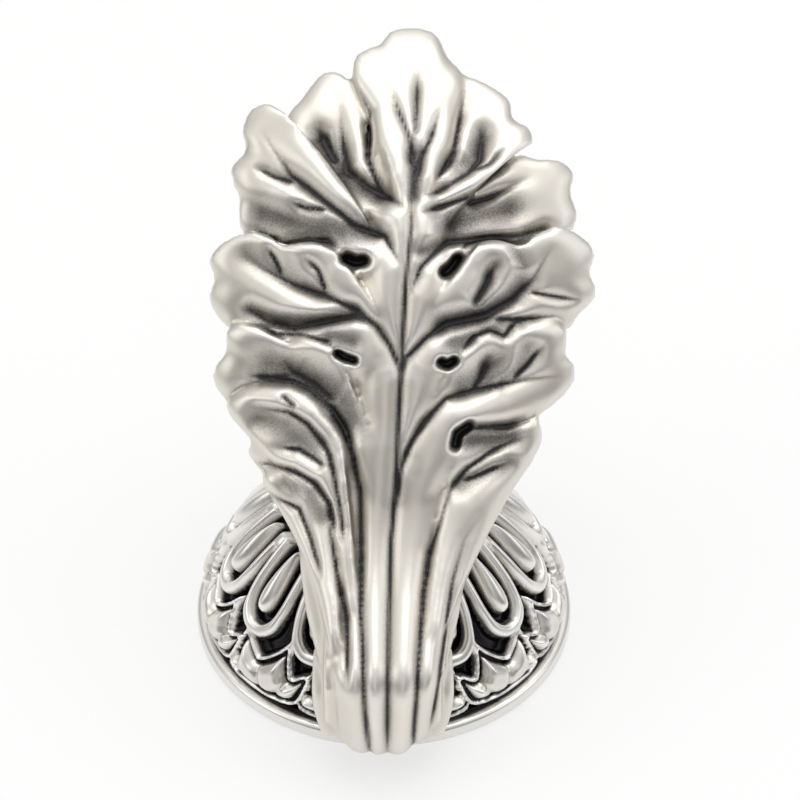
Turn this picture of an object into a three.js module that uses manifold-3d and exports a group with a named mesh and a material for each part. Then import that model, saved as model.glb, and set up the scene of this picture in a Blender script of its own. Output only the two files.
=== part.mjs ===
// Acanthus leaf cabinet knob standing on a domed rosette backplate.
// Millimetres. The origin is the centre of the backplate's back, +Z points away from the cabinet,
// the knuckle of the stem faces -Y and the tip of the leaf leans towards +Y.

import * as THREE from "three";
import Module from "manifold-3d";
import { mergeVertices } from "three/addons/utils/BufferGeometryUtils.js";

// Backplate
const plateDiameter = 38;
const rimHeight = 1.7;
const rimWidth = 1.7;
const rimEdge = 0.45;
const plateWall = 1.6;
const backBandWidth = 2.2;
const collarHeight = 15.5;
const collarRadius = 9.3;
const domeFoot = [plateDiameter / 2 - rimWidth - 0.2, 1.3];
const domeWaist = [domeFoot[0] - 0.1, collarHeight / 2 + 0.25];
const domeNeck = [collarRadius + 0.2, collarHeight - 1.1];
const socketDiameter = 6.6;
const bossWall = 2.2;
const bossBottom = 6;
const plateSides = 36;

// Ornament of the backplate
const lotusCount = 12;
const eggCount = 14;
const ribbonHeight = 1.1;
const budHeight = 1.5;
const eggHeight = 1.35;
const loopRadius = 0.7;
const loopHeight = 0.9;
const beadHeight = 1.1;
const rootDepth = 0.8;
const frontAzimuth = -90;

// Knob seat and thread insert
const seatClearance = 0.3;
const spigotLength = 9;
const spigotChamfer = 0.4;
const spigotRoot = 4;
const insertDiameter = 4.4;
const insertLength = 8;
const insertClearance = 0.05;
const threadDiameter = 3.4;
const roundSides = 18;

// Leaf: the side line of its front face, as a start, a heading and bends of [length, heading at end]
const stemFront = plateDiameter / 2;
const leafStart = [0.2 - stemFront, collarHeight - 12.5];
const leafHeading = 195;
const leafBends = [
  [1.2, 190], [5.2, 97], [5.6, 86], [4.2, 24], [6, 24], [11, 52], [14, 54], [20, 30], [14, 20],
];
const leafLean = 0.05;
const leafLeanStart = 5;
const leafSag = 0.008;
const leafThickness = 2.3;
const spineStep = 0.5;
const smallestEdge = 0.05;

const silver = 0xcfcac0;
const darkSilver = 0xb9b5ad;
const brass = 0xb08d4a;

const wasm = await Module();
wasm.setup();

const radians = (degrees) => (degrees * Math.PI) / 180;
const blend = (a, b, t) => a + (b - a) * t;
const mix = (a, b, t) => a.map((x, i) => blend(x, b[i], t));

function lerp(stations, x) {
  // straight-line interpolation in a list of [x, value]
  let i = 1;
  while (i < stations.length - 1 && stations[i][0] < x) i += 1;
  const [x0, y0] = stations[i - 1];
  const [x1, y1] = stations[i];
  return blend(y0, y1, Math.min(Math.max((x - x0) / (x1 - x0), 0), 1));
}

function solid(points, faces) {
  // a closed solid from shared points and faces that point outwards
  const triVerts = new Uint32Array(faces.flat());
  const vertProperties = new Float32Array(points.flat());
  return new wasm.Manifold(new wasm.Mesh({ numProp: 3, vertProperties, triVerts }));
}

function solidOf(geometry) {
  // a closed solid from one of the ready geometry classes
  const plain = geometry.index ? geometry.toNonIndexed() : geometry.clone();
  plain.deleteAttribute("normal");
  plain.deleteAttribute("uv");
  const merged = mergeVertices(plain, 1e-4);
  const vertProperties = new Float32Array(merged.attributes.position.array);
  const triVerts = new Uint32Array(merged.index.array);
  return new wasm.Manifold(new wasm.Mesh({ numProp: 3, vertProperties, triVerts }));
}

function union(parts) {
  return parts.reduce((whole, part) => whole.add(part));
}

function geometryOf(shape) {
  const { vertProperties, triVerts } = shape.getMesh();
  const geometry = new THREE.BufferGeometry();
  geometry.setAttribute("position", new THREE.BufferAttribute(new Float32Array(vertProperties), 3));
  geometry.setIndex(new THREE.BufferAttribute(new Uint32Array(triVerts), 1));
  return geometry;
}

function castSolid(shape) {
  // a casting has no sealed hollows: the small ones left where its parts cross are filled
  const shells = shape.setTolerance(smallestEdge).decompose();
  return shells.reduce((largest, shell) => (shell.volume() > largest.volume() ? shell : largest));
}

function meshOf(name, shape, color, roughness, metalness) {
  const geometry = geometryOf(castSolid(shape));
  geometry.computeVertexNormals();
  const material = new THREE.MeshStandardMaterial({ color, roughness, metalness });
  const mesh = new THREE.Mesh(geometry, material);
  mesh.name = name;
  return mesh;
}

function turned(profile, sides) {
  // a turned solid from a closed outline of [radius, height], stood up along +Z
  const outline = profile.map(([r, z]) => new THREE.Vector2(r, z));
  return solidOf(new THREE.LatheGeometry(outline, sides).rotateX(Math.PI / 2));
}

function loft(rings) {
  // a closed skin over rings of points; each ring runs the same way round
  const n = rings[0].length;
  const points = rings.flat();
  const faces = [];
  for (let i = 0; i < rings.length - 1; i += 1) {
    for (let j = 0; j < n; j += 1) {
      const a = i * n + j;
      const b = i * n + ((j + 1) % n);
      faces.push([a, b, b + n], [a, b + n, a + n]);
    }
  }
  const middle = (ring) => [0, 1, 2].map((k) => ring.reduce((sum, p) => sum + p[k], 0) / n);
  const first = points.push(middle(rings[0])) - 1;
  const last = points.push(middle(rings[rings.length - 1])) - 1;
  const end = (rings.length - 1) * n;
  for (let j = 0; j < n; j += 1) {
    faces.push([first, (j + 1) % n, j], [last, end + j, end + ((j + 1) % n)]);
  }
  return outward(points, faces);
}

function outward(points, faces) {
  // the same solid, turned right side out if its faces came out reversed
  let volume = 0;
  for (const [a, b, c] of faces) {
    const [p, q, r] = [points[a], points[b], points[c]];
    volume += p[0] * (q[1] * r[2] - q[2] * r[1]);
    volume += p[1] * (q[2] * r[0] - q[0] * r[2]);
    volume += p[2] * (q[0] * r[1] - q[1] * r[0]);
  }
  return solid(points, volume > 0 ? faces : faces.map(([a, b, c]) => [a, c, b]));
}

// Side line of the leaf, walked in short steps

function walkSpine() {
  const line = [];
  let [y, z] = leafStart;
  let heading = leafHeading;
  let v = 0;
  for (const [length, headingAtEnd] of leafBends) {
    const steps = Math.max(1, Math.round(length / spineStep));
    const step = length / steps;
    const turn = (headingAtEnd - heading) / steps;
    for (let i = 0; i < steps; i += 1) {
      line.push({ v, y, z, heading });
      y += step * Math.cos(radians(heading + turn / 2));
      z += step * Math.sin(radians(heading + turn / 2));
      heading += turn;
      v += step;
    }
  }
  line.push({ v, y, z, heading });
  return line;
}

const spine = walkSpine();
const midrib = (v) => leafLean * (v - leafLeanStart);

function onLeaf(u, v, h) {
  // u across the leaf, v up its front face, h out of that face
  let i = 1;
  while (i < spine.length - 1 && spine[i].v < v) i += 1;
  const a = spine[i - 1];
  const b = spine[i];
  const t = (v - a.v) / (b.v - a.v);
  const heading = radians(blend(a.heading, b.heading, t));
  const out = h - leafSag * u * u;
  const y = blend(a.y, b.y, t) - out * Math.sin(heading);
  const z = blend(a.z, b.z, t) + out * Math.cos(heading);
  return [u, y, z];
}

// Lobes. Each fans out from a root low on the stem, bends away from it and ends in an outline that
// runs from its upper corner round the tips to its lower corner, all in [u, v] on the leaf.
// veins: [place along the outline as a share, depth]. lift: height of the upper edge, and drop: of
// the lower edge, so that each lobe lies over the one above it.

const lobes = [
  {
    name: "tip", side: 1,
    root: [2.8, 55], bend: [[1.6, 60.5], [4.6, 60.5]], lift: -0.2, drop: -0.2, crown: 1.1,
    edge: [
      [-1.3, 65], [-1.3, 69], [-2.2, 72.5], [-2.9, 75], [-2.1, 77.8], [-0.5, 79], [1.5, 80.5],
      [4, 80.7], [5.4, 79.9], [6.4, 77.5], [7.6, 76], [8.1, 74], [7.9, 70.5], [7.3, 66.8],
    ],
    veins: [[0.3, 0.7], [0.53, 0.8], [0.77, 0.7]],
  },
  {
    name: "upper left back", side: -1,
    root: [1.5, 57], bend: [[0.4, 62], [-1.5, 61]], lift: -1.4, drop: -1, crown: 0.8,
    edge: [
      [-3, 73.5], [-4.2, 75], [-5.6, 74.8], [-7.5, 72.8], [-9.2, 70.7], [-9, 67],
    ],
    veins: [[0.42, 0.6], [0.64, 0.6]],
  },
  {
    name: "upper left", side: -1,
    root: [1.5, 51], bend: [[-1, 60.5], [-3, 56]], lift: 0.5, drop: -1.4, crown: 1.1,
    edge: [
      [-9.4, 70.5], [-10.7, 71.3], [-12.3, 71.1],
      [-13.3, 69], [-13.4, 67.4], [-14.8, 65.8], [-14.6, 63.8], [-14, 62.6], [-14.2, 60.5], [-13.6, 58.5],
    ],
    veins: [[0.44, 0.8], [0.6, 0.7], [0.78, 0.6]],
  },
  {
    name: "upper right", side: 1,
    root: [3.2, 54], bend: [[5.2, 63], [5.5, 60]], lift: -1.2, drop: 0.4, crown: 0.9,
    edge: [
      [8, 74.2], [10, 73.4], [11.9, 71.8], [12.3, 69.7], [13.7, 68.9], [14.2, 67.4],
    ],
    veins: [[0.32, 0.7], [0.62, 0.7]],
  },
  {
    name: "back right", side: 1,
    root: [2.6, 49], bend: [[5, 60.5], [8, 54.5]], lift: -2, drop: -1.6, crown: 0.9,
    edge: [
      [13, 65.6], [14.7, 65.3], [16.9, 65.7], [18.3, 64.3], [17.8, 61.8], [18.6, 60.3],
      [18.1, 58.6],
    ],
    veins: [[0.3, 0.5], [0.5, 0.7], [0.7, 0.5]],
  },
  {
    name: "left third", side: -1,
    root: [1.3, 41], bend: [[0.2, 51.5], [-5, 46]], lift: 1, drop: -1.4, crown: 1.1,
    edge: [
      [-4.9, 56.4], [-6.8, 57.2], [-8.6, 57.1], [-9.9, 57], [-10.9, 58.1],
      [-12.5, 58.6], [-14.4, 58.2], [-16, 57.3], [-16.9, 55.8], [-16.4, 54], [-16.9, 52], [-16.4, 50.3],
      [-15, 48.5],
    ],
    veins: [[0.24, 0.5], [0.38, 0.8], [0.62, 0.6], [0.8, 0.6]],
  },
  {
    name: "left second", side: -1,
    root: [-0.6, 31], bend: [[-1.4, 42], [-6, 38.5]], lift: 1, drop: -1.2, crown: 1.1,
    edge: [
      [-5, 46.9], [-6.3, 47.5], [-7.8, 47.7], [-9.1, 47.3], [-10.5, 48.1],
      [-12, 48.9], [-14, 49.1], [-15.3, 48.1], [-15.2, 46.5], [-16.4, 44.7], [-16.4, 43], [-15, 41.2],
    ],
    veins: [[0.3, 0.5], [0.5, 0.7], [0.72, 0.7]],
  },
  {
    name: "left first", side: -1,
    root: [-2.6, 19], bend: [[-3, 32], [-6, 32]], lift: 1, drop: -1, crown: 1,
    edge: [
      [-4, 38.6], [-5.5, 40.7], [-7.3, 42.4], [-9.1, 43.1], [-11.6, 43.1], [-13.7, 42.5],
      [-15.1, 41.4], [-15, 40.3], [-14, 39],
    ],
    veins: [[0.34, 0.5], [0.54, 0.8], [0.82, 0.6]],
  },
  {
    name: "left base back", side: -1,
    root: [-3.6, 23], bend: [[-4.5, 33], [-6.5, 30.5]], lift: -0.6, drop: -1.6, crown: 0.8,
    edge: [[-9, 38.6], [-12.3, 38], [-13.1, 36.3], [-11.6, 34.6]],
    veins: [[0.5, 0.5]],
  },
  {
    name: "left base", side: -1,
    root: [-4.4, 17], bend: [[-4.3, 27], [-6.5, 27.5]], lift: 0.2, drop: -1.6, crown: 0.9,
    edge: [
      [-5.5, 31.6], [-6.8, 33.3], [-8.7, 34.4], [-11.1, 34.9], [-11.8, 33.9], [-11.3, 33],
    ],
    veins: [[0.52, 0.5]],
  },
  {
    name: "right third", side: 1,
    root: [2.4, 41], bend: [[3.8, 50.5], [8, 46]], lift: 1, drop: -1.4, crown: 1.1,
    edge: [
      [8.4, 56], [9.6, 57.3], [11.2, 57.6], [13.4, 57], [14.8, 58.4],
      [16.5, 59.4], [18.2, 59.1], [19.8, 58.1], [20.6, 56.7], [20.1, 54.6], [20.8, 53], [20.5, 51.6],
      [19.2, 50.3], [18.2, 48.4],
    ],
    veins: [[0.2, 0.5], [0.42, 0.8], [0.62, 0.5], [0.8, 0.6]],
  },
  {
    name: "right second", side: 1,
    root: [2.4, 29], bend: [[3.2, 41], [7, 37.5]], lift: 1, drop: -1.2, crown: 1.1,
    edge: [
      [7.7, 46], [8.8, 47.3], [10.1, 48], [11.3, 47.6], [12.2, 47.4], [13.6, 48.8],
      [15.2, 49.4], [16.8, 49.3], [17.9, 48.1], [17.7, 46], [18.6, 45], [18.6, 43.3], [17.2, 41.6],
      [14.6, 39.8],
    ],
    veins: [[0.2, 0.5], [0.44, 0.5], [0.66, 0.8], [0.86, 0.5]],
  },
  {
    name: "right first", side: 1,
    root: [4.4, 17], bend: [[4.6, 32], [8.5, 28.5]], lift: 0.8, drop: -1.4, crown: 1,
    edge: [
      [8.2, 38.8], [9, 39.7], [10.9, 39.2], [13.6, 39.5], [15, 40], [15.5, 38.6], [15.5, 37.6],
      [14.4, 35.3],
    ],
    veins: [[0.36, 0.5], [0.56, 0.8]],
  },
];

const lobeRows = [0, 0.4, 0.75, 1];
const rootSpread = 0.9;
const veinWidth = 0.85;
const edgeRoll = 1.1;

function lobePoint(lobe, s, t, under) {
  // s runs from root to outline, t along the outline
  const last = lobe.edge.length - 1;
  const k = Math.min(Math.floor(t * last), last - 1);
  const end = mix(lobe.edge[k], lobe.edge[k + 1], t * last - k);
  const [high, low] = lobe.bend;
  const bend = mix(high, low, t);
  const root = [lobe.root[0] + lobe.side * rootSpread * (t - 0.5), lobe.root[1]];
  const [u, v] = [0, 1].map((i) => (1 - s) ** 2 * root[i] + 2 * s * (1 - s) * bend[i] + s * s * end[i]);
  const level = blend(lobe.lift, lobe.drop, t) * Math.min(1, 1.4 * s);
  if (under) return [u, v, level - leafThickness * (1 - 0.35 * s)];
  const fan = 4 + 14 * s;
  const groove = lobe.veins.reduce((sum, [at, depth]) => {
    return sum + depth * Math.exp(-(((t - at) * fan) ** 2) / veinWidth ** 2);
  }, 0);
  const pillow = lobe.crown * Math.sin(Math.PI * Math.min(1, 0.08 + 0.84 * t)) ** 0.5;
  const roll = edgeRoll * s ** 5;
  return [u, v, level + pillow * (1 - s ** 4) - groove * Math.min(1, 3 * s * (1.05 - s)) - roll];
}

function lobeSolid(lobe) {
  // front and back are the same grid, joined round their border
  const columns = lobe.edge.length - 1;
  const count = columns + 1;
  const rows = lobeRows.length - 1;
  const grid = (under) => lobeRows.flatMap((s) => lobe.edge.map((_, j) => {
    return onLeaf(...lobePoint(lobe, s, j / columns, under));
  }));
  const backStart = lobeRows.length * count;
  const faces = [];
  const quad = (a, b, c, d) => faces.push([a, b, c], [a, c, d]);
  for (let i = 0; i < rows; i += 1) {
    for (let j = 0; j < columns; j += 1) {
      const a = i * count + j;
      quad(a, a + count, a + count + 1, a + 1);
      quad(backStart + a, backStart + a + 1, backStart + a + count + 1, backStart + a + count);
    }
    const left = i * count;
    const right = left + columns;
    quad(left, backStart + left, backStart + left + count, left + count);
    quad(right, right + count, backStart + right + count, backStart + right);
  }
  for (let j = 0; j < columns; j += 1) {
    const tip = rows * count + j;
    quad(tip, backStart + tip, backStart + tip + 1, tip + 1);
    quad(j, j + 1, backStart + j + 1, backStart + j);
  }
  return outward([...grid(false), ...grid(true)], faces);
}

// Stem: the ribbed middle of the leaf, from the curl under the knuckle to the root of the tip lobe

const stemHalfWidth = [
  [0, 3.4], [4, 4.1], [12, 4.8], [16, 5.3], [22, 5.6], [29, 6.3], [36, 6], [45, 4.6], [54, 3.2], [64, 1.6],
];
const stemDepth = [[0, 1.6], [6, 2.3], [17, 2.4], [22, 2.4], [26, 3], [31, 5], [38, 4.5], [50, 3.2], [64, 2.2]];
const stemStations = [0, 2, 4, 6, 9, 12, 13.5, 15, 17, 20, 24, 28, 33, 38, 44, 50, 56, 64];
const stemRibs = [-1, -0.9, -0.7, -0.5, -0.25, 0, 0.3, 0.6, 0.82, 0.95, 1];
const ribHeights = [-1.3, -0.1, 0.35, -0.3, 0.6, -0.45, 0.65, -0.3, 0.35, -0.1, -1.3];
const ribFade = [[0, 0.5], [6, 0.7], [15, 0.75], [30, 1], [64, 0.8]];

function stemSection(v) {
  const half = lerp(stemHalfWidth, v);
  const depth = lerp(stemDepth, v);
  const fade = lerp(ribFade, v);
  const front = stemRibs.map((x, i) => onLeaf(midrib(v) + x * half, v, ribHeights[i] * fade));
  const back = [0.9, 0.5, -0.5, -0.9].map((x, i) => {
    return onLeaf(midrib(v) + x * half, v, -depth * (i === 1 || i === 2 ? 1 : 0.8));
  });
  return [...front, ...back];
}

function stem() {
  return loft(stemStations.map(stemSection));
}

// Bracket: the body behind the stem that stands on the collar and follows the front of the dome

const bracketHalfWidth = 5.6;
const bracketGap = 1.9;

function bracketSide() {
  const back = [0.75, 0.5, 0.25].map((w) => {
    const { r, z, nr, nz } = domeAt(w);
    return [-r - bracketGap * nr, z + bracketGap * nz];
  });
  const front = [
    [0.3, -11.3], [-0.6, -11.9], [-2.5, -9.3], [-2.9, -4.5], [-1.3, -2.5], [4, -0.1], [11.6, 5.9], [17, 12.5],
  ].map(([y, z]) => [y - stemFront, z + collarHeight]);
  return [...front, [0, collarHeight + 11.5], [0, collarHeight], [-collarRadius - 1.6, collarHeight], ...back];
}

function bracket() {
  const side = new THREE.Shape(bracketSide().map(([y, z]) => new THREE.Vector2(y, z)));
  const geometry = new THREE.ExtrudeGeometry(side, { depth: 2 * bracketHalfWidth, bevelEnabled: false });
  geometry.translate(0, 0, -bracketHalfWidth);
  geometry.applyMatrix4(new THREE.Matrix4().makeBasis(
    new THREE.Vector3(0, 1, 0),
    new THREE.Vector3(0, 0, 1),
    new THREE.Vector3(1, 0, 0),
  ));
  return solidOf(geometry);
}

// Post: the turned foot on the collar that carries the leaf

const postRadius = 6.2;
const postWaist = 4.7;
const postTop = collarHeight + 10.5;

function post() {
  return turned([
    [0, collarHeight], [postRadius, collarHeight], [postRadius, collarHeight + 0.8],
    [postRadius - 0.6, collarHeight + 1.5], [postWaist, collarHeight + 3.2], [postWaist, postTop - 3],
    [postWaist + 0.8, postTop], [0, postTop],
  ], roundSides);
}

// Pipes on both flanks of the bracket: points are [distance from the middle, back from the front of
// the stem, height over the collar, radius]

const flankPipes = [
  [[5.9, 18, 7.1, 2], [6.2, 11, 2.9, 2.1], [6, 5.4, -0.3, 1.7], [5, 2, -4, 1.5], [4.2, -0.8, -7.5, 1]],
  [[6.1, 3.2, -4.7, 0.6], [5.9, 0.8, -6.9, 1.1], [5.6, -0.4, -10, 1.2], [5, -0.9, -12.3, 0.9]],
  [[4.6, 2, -4.5, 0.9], [4.3, -1, -7, 1.2], [4, -1.9, -10.1, 1.2], [3.6, -1.6, -11.9, 0.9]],
];
const pipeSides = 6;

function pipe(stations, side) {
  const places = stations.map(([x, y, z]) => new THREE.Vector3(side * x, y - stemFront, z + collarHeight));
  const curve = new THREE.CatmullRomCurve3(places);
  const steps = 2 * (stations.length - 1);
  const across = new THREE.Vector3(1, 0, 0);
  const rings = [];
  for (let i = 0; i <= steps; i += 1) {
    const t = i / steps;
    const middle = curve.getPoint(t);
    const along = curve.getTangent(t);
    const up = new THREE.Vector3().crossVectors(along, across).normalize();
    const over = new THREE.Vector3().crossVectors(up, along).normalize();
    const radius = lerp(stations.map((station, k) => [k / (stations.length - 1), station[3]]), t);
    rings.push(Array.from({ length: pipeSides }, (_, j) => {
      const angle = (2 * Math.PI * j) / pipeSides;
      const place = middle.clone();
      place.addScaledVector(up, radius * Math.cos(angle)).addScaledVector(over, radius * Math.sin(angle));
      return place.toArray();
    }));
  }
  return loft(rings);
}

// Spigot that drops into the plate's socket, bored from below for the insert

function spigot() {
  const radius = socketDiameter / 2 - seatClearance;
  const bottom = collarHeight - spigotLength;
  return turned([
    [0, bottom], [radius - spigotChamfer, bottom], [radius, bottom + spigotChamfer],
    [radius, collarHeight + spigotRoot], [0, collarHeight + spigotRoot],
  ], roundSides);
}

function insertBore() {
  const bottom = collarHeight - spigotLength;
  const bore = insertDiameter / 2 + insertClearance;
  const top = bottom + insertLength + insertClearance;
  return turned([[0, bottom - 1], [bore, bottom - 1], [bore, top], [0, top]], roundSides);
}

function leafKnob() {
  const flanks = flankPipes.flatMap((stations) => [pipe(stations, 1), pipe(stations, -1)]);
  const body = union([stem(), bracket(), post(), spigot(), ...lobes.map(lobeSolid), ...flanks]);
  return meshOf("leaf_knob", body.subtract(insertBore()), silver, 0.34, 0.9);
}

// Insert: a tapped bush pressed into the spigot

function threadedInsert() {
  const bottom = collarHeight - spigotLength;
  const shape = turned([
    [threadDiameter / 2, bottom], [insertDiameter / 2, bottom], [insertDiameter / 2, bottom + insertLength],
    [threadDiameter / 2, bottom + insertLength], [threadDiameter / 2, bottom],
  ], roundSides);
  return meshOf("threaded_insert", shape, brass, 0.4, 0.9);
}

// Backplate

function domeAt(w) {
  // ground of the dome, w from the rim (0) to the collar (1), with its outward normal
  const mix = (i) => (1 - w) ** 2 * domeFoot[i] + 2 * w * (1 - w) * domeWaist[i] + w * w * domeNeck[i];
  const slope = (i) => (1 - w) * (domeWaist[i] - domeFoot[i]) + w * (domeNeck[i] - domeWaist[i]);
  const [dr, dz] = [slope(0), slope(1)];
  const length = Math.hypot(dr, dz);
  return { r: mix(0), z: mix(1), nr: dz / length, nz: -dr / length };
}

function apart([r0, z0], [r1, z1]) {
  return Math.hypot(r1 - r0, z1 - z0);
}

// length of the dome's side, between that of its chord and that of its control lines
const domeLength = (apart(domeFoot, domeNeck) + apart(domeFoot, domeWaist) + apart(domeWaist, domeNeck)) / 2;

function onDome(azimuth, a, w, h) {
  // a across the ornament in mm, w up the dome, h out of it
  const { r, z, nr, nz } = domeAt(w);
  const angle = radians(azimuth) + a / r;
  const radius = r + h * nr;
  return [radius * Math.cos(angle), radius * Math.sin(angle), z + h * nz];
}

const domeRows = [0, 0.27, 0.52, 0.76, 1];

function plateBody() {
  const radius = plateDiameter / 2;
  const socket = socketDiameter / 2;
  const boss = socket + bossWall;
  const outside = domeRows.map((w) => [domeAt(w).r, domeAt(w).z]);
  const inside = [1, 0.55, 0.12].map((w) => {
    const { r, z, nr, nz } = domeAt(w);
    return [r - plateWall * nr, z - plateWall * nz];
  });
  const ceiling = collarHeight - plateWall;
  return turned([
    [radius - backBandWidth, 0], [radius - rimEdge, 0], [radius, rimEdge], [radius, rimHeight - rimEdge],
    [radius - rimEdge, rimHeight], [radius - rimWidth, rimHeight], ...outside,
    [collarRadius, domeNeck[1] + 0.2], [collarRadius, collarHeight - 0.3], [collarRadius - 0.3, collarHeight],
    [socket, collarHeight], [socket, bossBottom], [boss, bossBottom], [boss, ceiling],
    [inside[0][0] - 0.6, ceiling], ...inside, [radius - backBandWidth, 0.6], [radius - backBandWidth, 0],
  ], plateSides);
}

function relief(azimuth, outline, middle, crown, edge) {
  // a raised patch on the dome: a crowned middle, a lower edge and a root sunk into the ground
  const n = outline.length;
  const points = [
    onDome(azimuth, ...middle, crown),
    ...outline.map(([a, w]) => onDome(azimuth, a, w, edge)),
    ...outline.map(([a, w]) => onDome(azimuth, a, w, -rootDepth)),
    onDome(azimuth, ...middle, -rootDepth),
  ];
  const faces = [];
  for (let j = 0; j < n; j += 1) {
    const next = (j + 1) % n;
    const [a, b] = [1 + j, 1 + next];
    faces.push([0, a, b], [a, a + n, b + n], [a, b + n, b], [2 * n + 1, b + n, a + n]);
  }
  return outward(points, faces);
}

// Lotus outline as [distance across, share of the dome's height]. The flower leans back from the
// front of the plate, so the left half of the plate has it the other way round.
const lotusOutline = [
  [-2.2, 0.06], [-5, 0.14], [-6, 0.35], [-4, 0.31], [-3, 0.56], [0, 0.33], [2.4, 0.43], [3.4, 0.26],
  [4.6, 0.2], [3, 0.07],
];
const lotusMiddle = [-0.8, 0.2];
const budOutline = [[-1.6, 0.1], [-2.9, 0.26], [-2.6, 0.44], [0, 0.24], [2, 0.34], [2, 0.15]];
const budMiddle = [-0.6, 0.2];

function lotus(azimuth) {
  const lean = Math.cos(radians(azimuth)) > 0 ? 1 : -1;
  const turned = ([a, w]) => [lean * a, w];
  return [
    relief(azimuth, lotusOutline.map(turned), turned(lotusMiddle), ribbonHeight, 0.8 * ribbonHeight),
    relief(azimuth, budOutline.map(turned), turned(budMiddle), budHeight, ribbonHeight),
  ];
}

const eggOutline = [[0.5, 0.9], [1.15, 0.66], [0, 0.57]];
const loopPath = [[1.75, 0.97], [2.1, 0.72], [1.4, 0.5]];
const beadOutline = [[0.5, 0.96], [0.45, 0.86], [0, 0.82]];

function ringOf(half) {
  // a closed outline from its right half, whose last point is on the centre line
  const mirrored = half.slice(0, -1).map(([a, w]) => [-a, w]).reverse();
  return [...half, ...mirrored];
}

function eggLoop(azimuth) {
  const path = [...loopPath, ...loopPath.map(([a, w]) => [-a, w]).reverse()];
  const rings = path.map(([a, w], i) => {
    const [pa, pw] = path[Math.max(i - 1, 0)];
    const [na, nw] = path[Math.min(i + 1, path.length - 1)];
    const [da, dw] = [na - pa, (nw - pw) * domeLength];
    const length = Math.hypot(da, dw);
    const [ox, ow] = [(dw / length) * loopRadius, (-da / length / domeLength) * loopRadius];
    return [
      onDome(azimuth, a - ox, w - ow, -rootDepth), onDome(azimuth, a - 0.6 * ox, w - 0.6 * ow, loopHeight),
      onDome(azimuth, a + 0.6 * ox, w + 0.6 * ow, loopHeight), onDome(azimuth, a + ox, w + ow, -rootDepth),
    ];
  });
  return loft(rings);
}

function eggAndLoop(azimuth) {
  const beadAzimuth = azimuth + 180 / eggCount;
  return [
    relief(azimuth, ringOf(eggOutline), [0, 0.7], eggHeight, 0.5),
    eggLoop(azimuth),
    relief(beadAzimuth, ringOf(beadOutline), [0, 0.9], beadHeight, 0.6),
  ];
}

function backplate() {
  const pieces = [plateBody()];
  for (let i = 0; i < lotusCount; i += 1) {
    pieces.push(...lotus(frontAzimuth + (360 / lotusCount) * (i + 0.5)));
  }
  for (let i = 0; i < eggCount; i += 1) {
    pieces.push(...eggAndLoop(frontAzimuth + (360 / eggCount) * i));
  }
  return meshOf("backplate", union(pieces), darkSilver, 0.36, 0.9);
}

const knob = new THREE.Group();
knob.add(leafKnob(), backplate(), threadedInsert());

export default knob;
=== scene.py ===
import math
import bpy
import bmesh
import numpy as np
from mathutils import Vector, Matrix
from mathutils.bvhtree import BVHTree


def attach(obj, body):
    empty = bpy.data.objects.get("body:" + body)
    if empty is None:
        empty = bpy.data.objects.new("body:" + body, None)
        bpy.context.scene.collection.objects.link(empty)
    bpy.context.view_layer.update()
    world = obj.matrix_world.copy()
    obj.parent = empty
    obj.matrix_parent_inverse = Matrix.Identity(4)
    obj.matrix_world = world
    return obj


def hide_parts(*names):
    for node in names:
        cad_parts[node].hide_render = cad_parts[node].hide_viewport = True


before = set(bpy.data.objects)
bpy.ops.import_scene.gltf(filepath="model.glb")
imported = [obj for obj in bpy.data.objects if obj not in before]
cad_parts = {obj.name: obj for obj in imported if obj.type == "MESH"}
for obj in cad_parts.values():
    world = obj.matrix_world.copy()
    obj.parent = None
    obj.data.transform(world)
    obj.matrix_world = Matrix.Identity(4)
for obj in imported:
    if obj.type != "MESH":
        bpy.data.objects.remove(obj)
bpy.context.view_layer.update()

scene = bpy.context.scene
mm = 0.001    # the shapes below are worked out in millimetres and scaled once, at the end of each piece

# camera, floor and light

cameraSetup = {"elevation": 40.5, "distance": 320.0, "lens": 140.8, "aimX": 1.64, "aimUp": 21.7}
stageSetup = {
    "floorSize": 3000.0, "floorWhite": 0.93, "ownGlow": 0.62,
    "worldLow": 0.3, "worldHigh": 0.93, "worldFront": -0.16, "worldBack": 0.2,
}
lampSetup = [
    # name, place in mm, size in mm, watts, colour
    ("lampAbove", (40, 140, 620), 620, 1.2, (1.0, 0.99, 0.97)),
    ("lampLeft", (-560, -160, 330), 420, 0.5, (1.0, 0.99, 0.96)),
    ("lampRight", (540, -60, 300), 420, 0.4, (0.97, 0.98, 1.0)),
    ("lampFront", (20, -620, 260), 380, 0.15, (1.0, 0.98, 0.95)),
]


def addNode(nodes, kind, values=None, **settings):
    made = nodes.new("ShaderNode" + kind)
    for key, value in settings.items():
        setattr(made, key, value)
    for key, value in (values or {}).items():
        made.inputs[key].default_value = value
    return made


def makeCamera(setup):
    turn = math.radians(setup["elevation"])
    along = Vector((0, math.cos(turn), -math.sin(turn)))
    up = Vector((0, math.sin(turn), math.cos(turn)))
    aim = Vector((setup["aimX"], 0, 0)) + up * setup["aimUp"]
    data = bpy.data.cameras.new("camera")
    data.lens = setup["lens"]
    data.sensor_width = 36.0
    data.clip_start = 0.01
    data.clip_end = 20.0
    camera = bpy.data.objects.new("camera", data)
    camera.location = (aim - along * setup["distance"]) * mm
    camera.rotation_euler = (math.radians(90) - turn, 0, 0)
    scene.collection.objects.link(camera)
    scene.camera = camera


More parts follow.
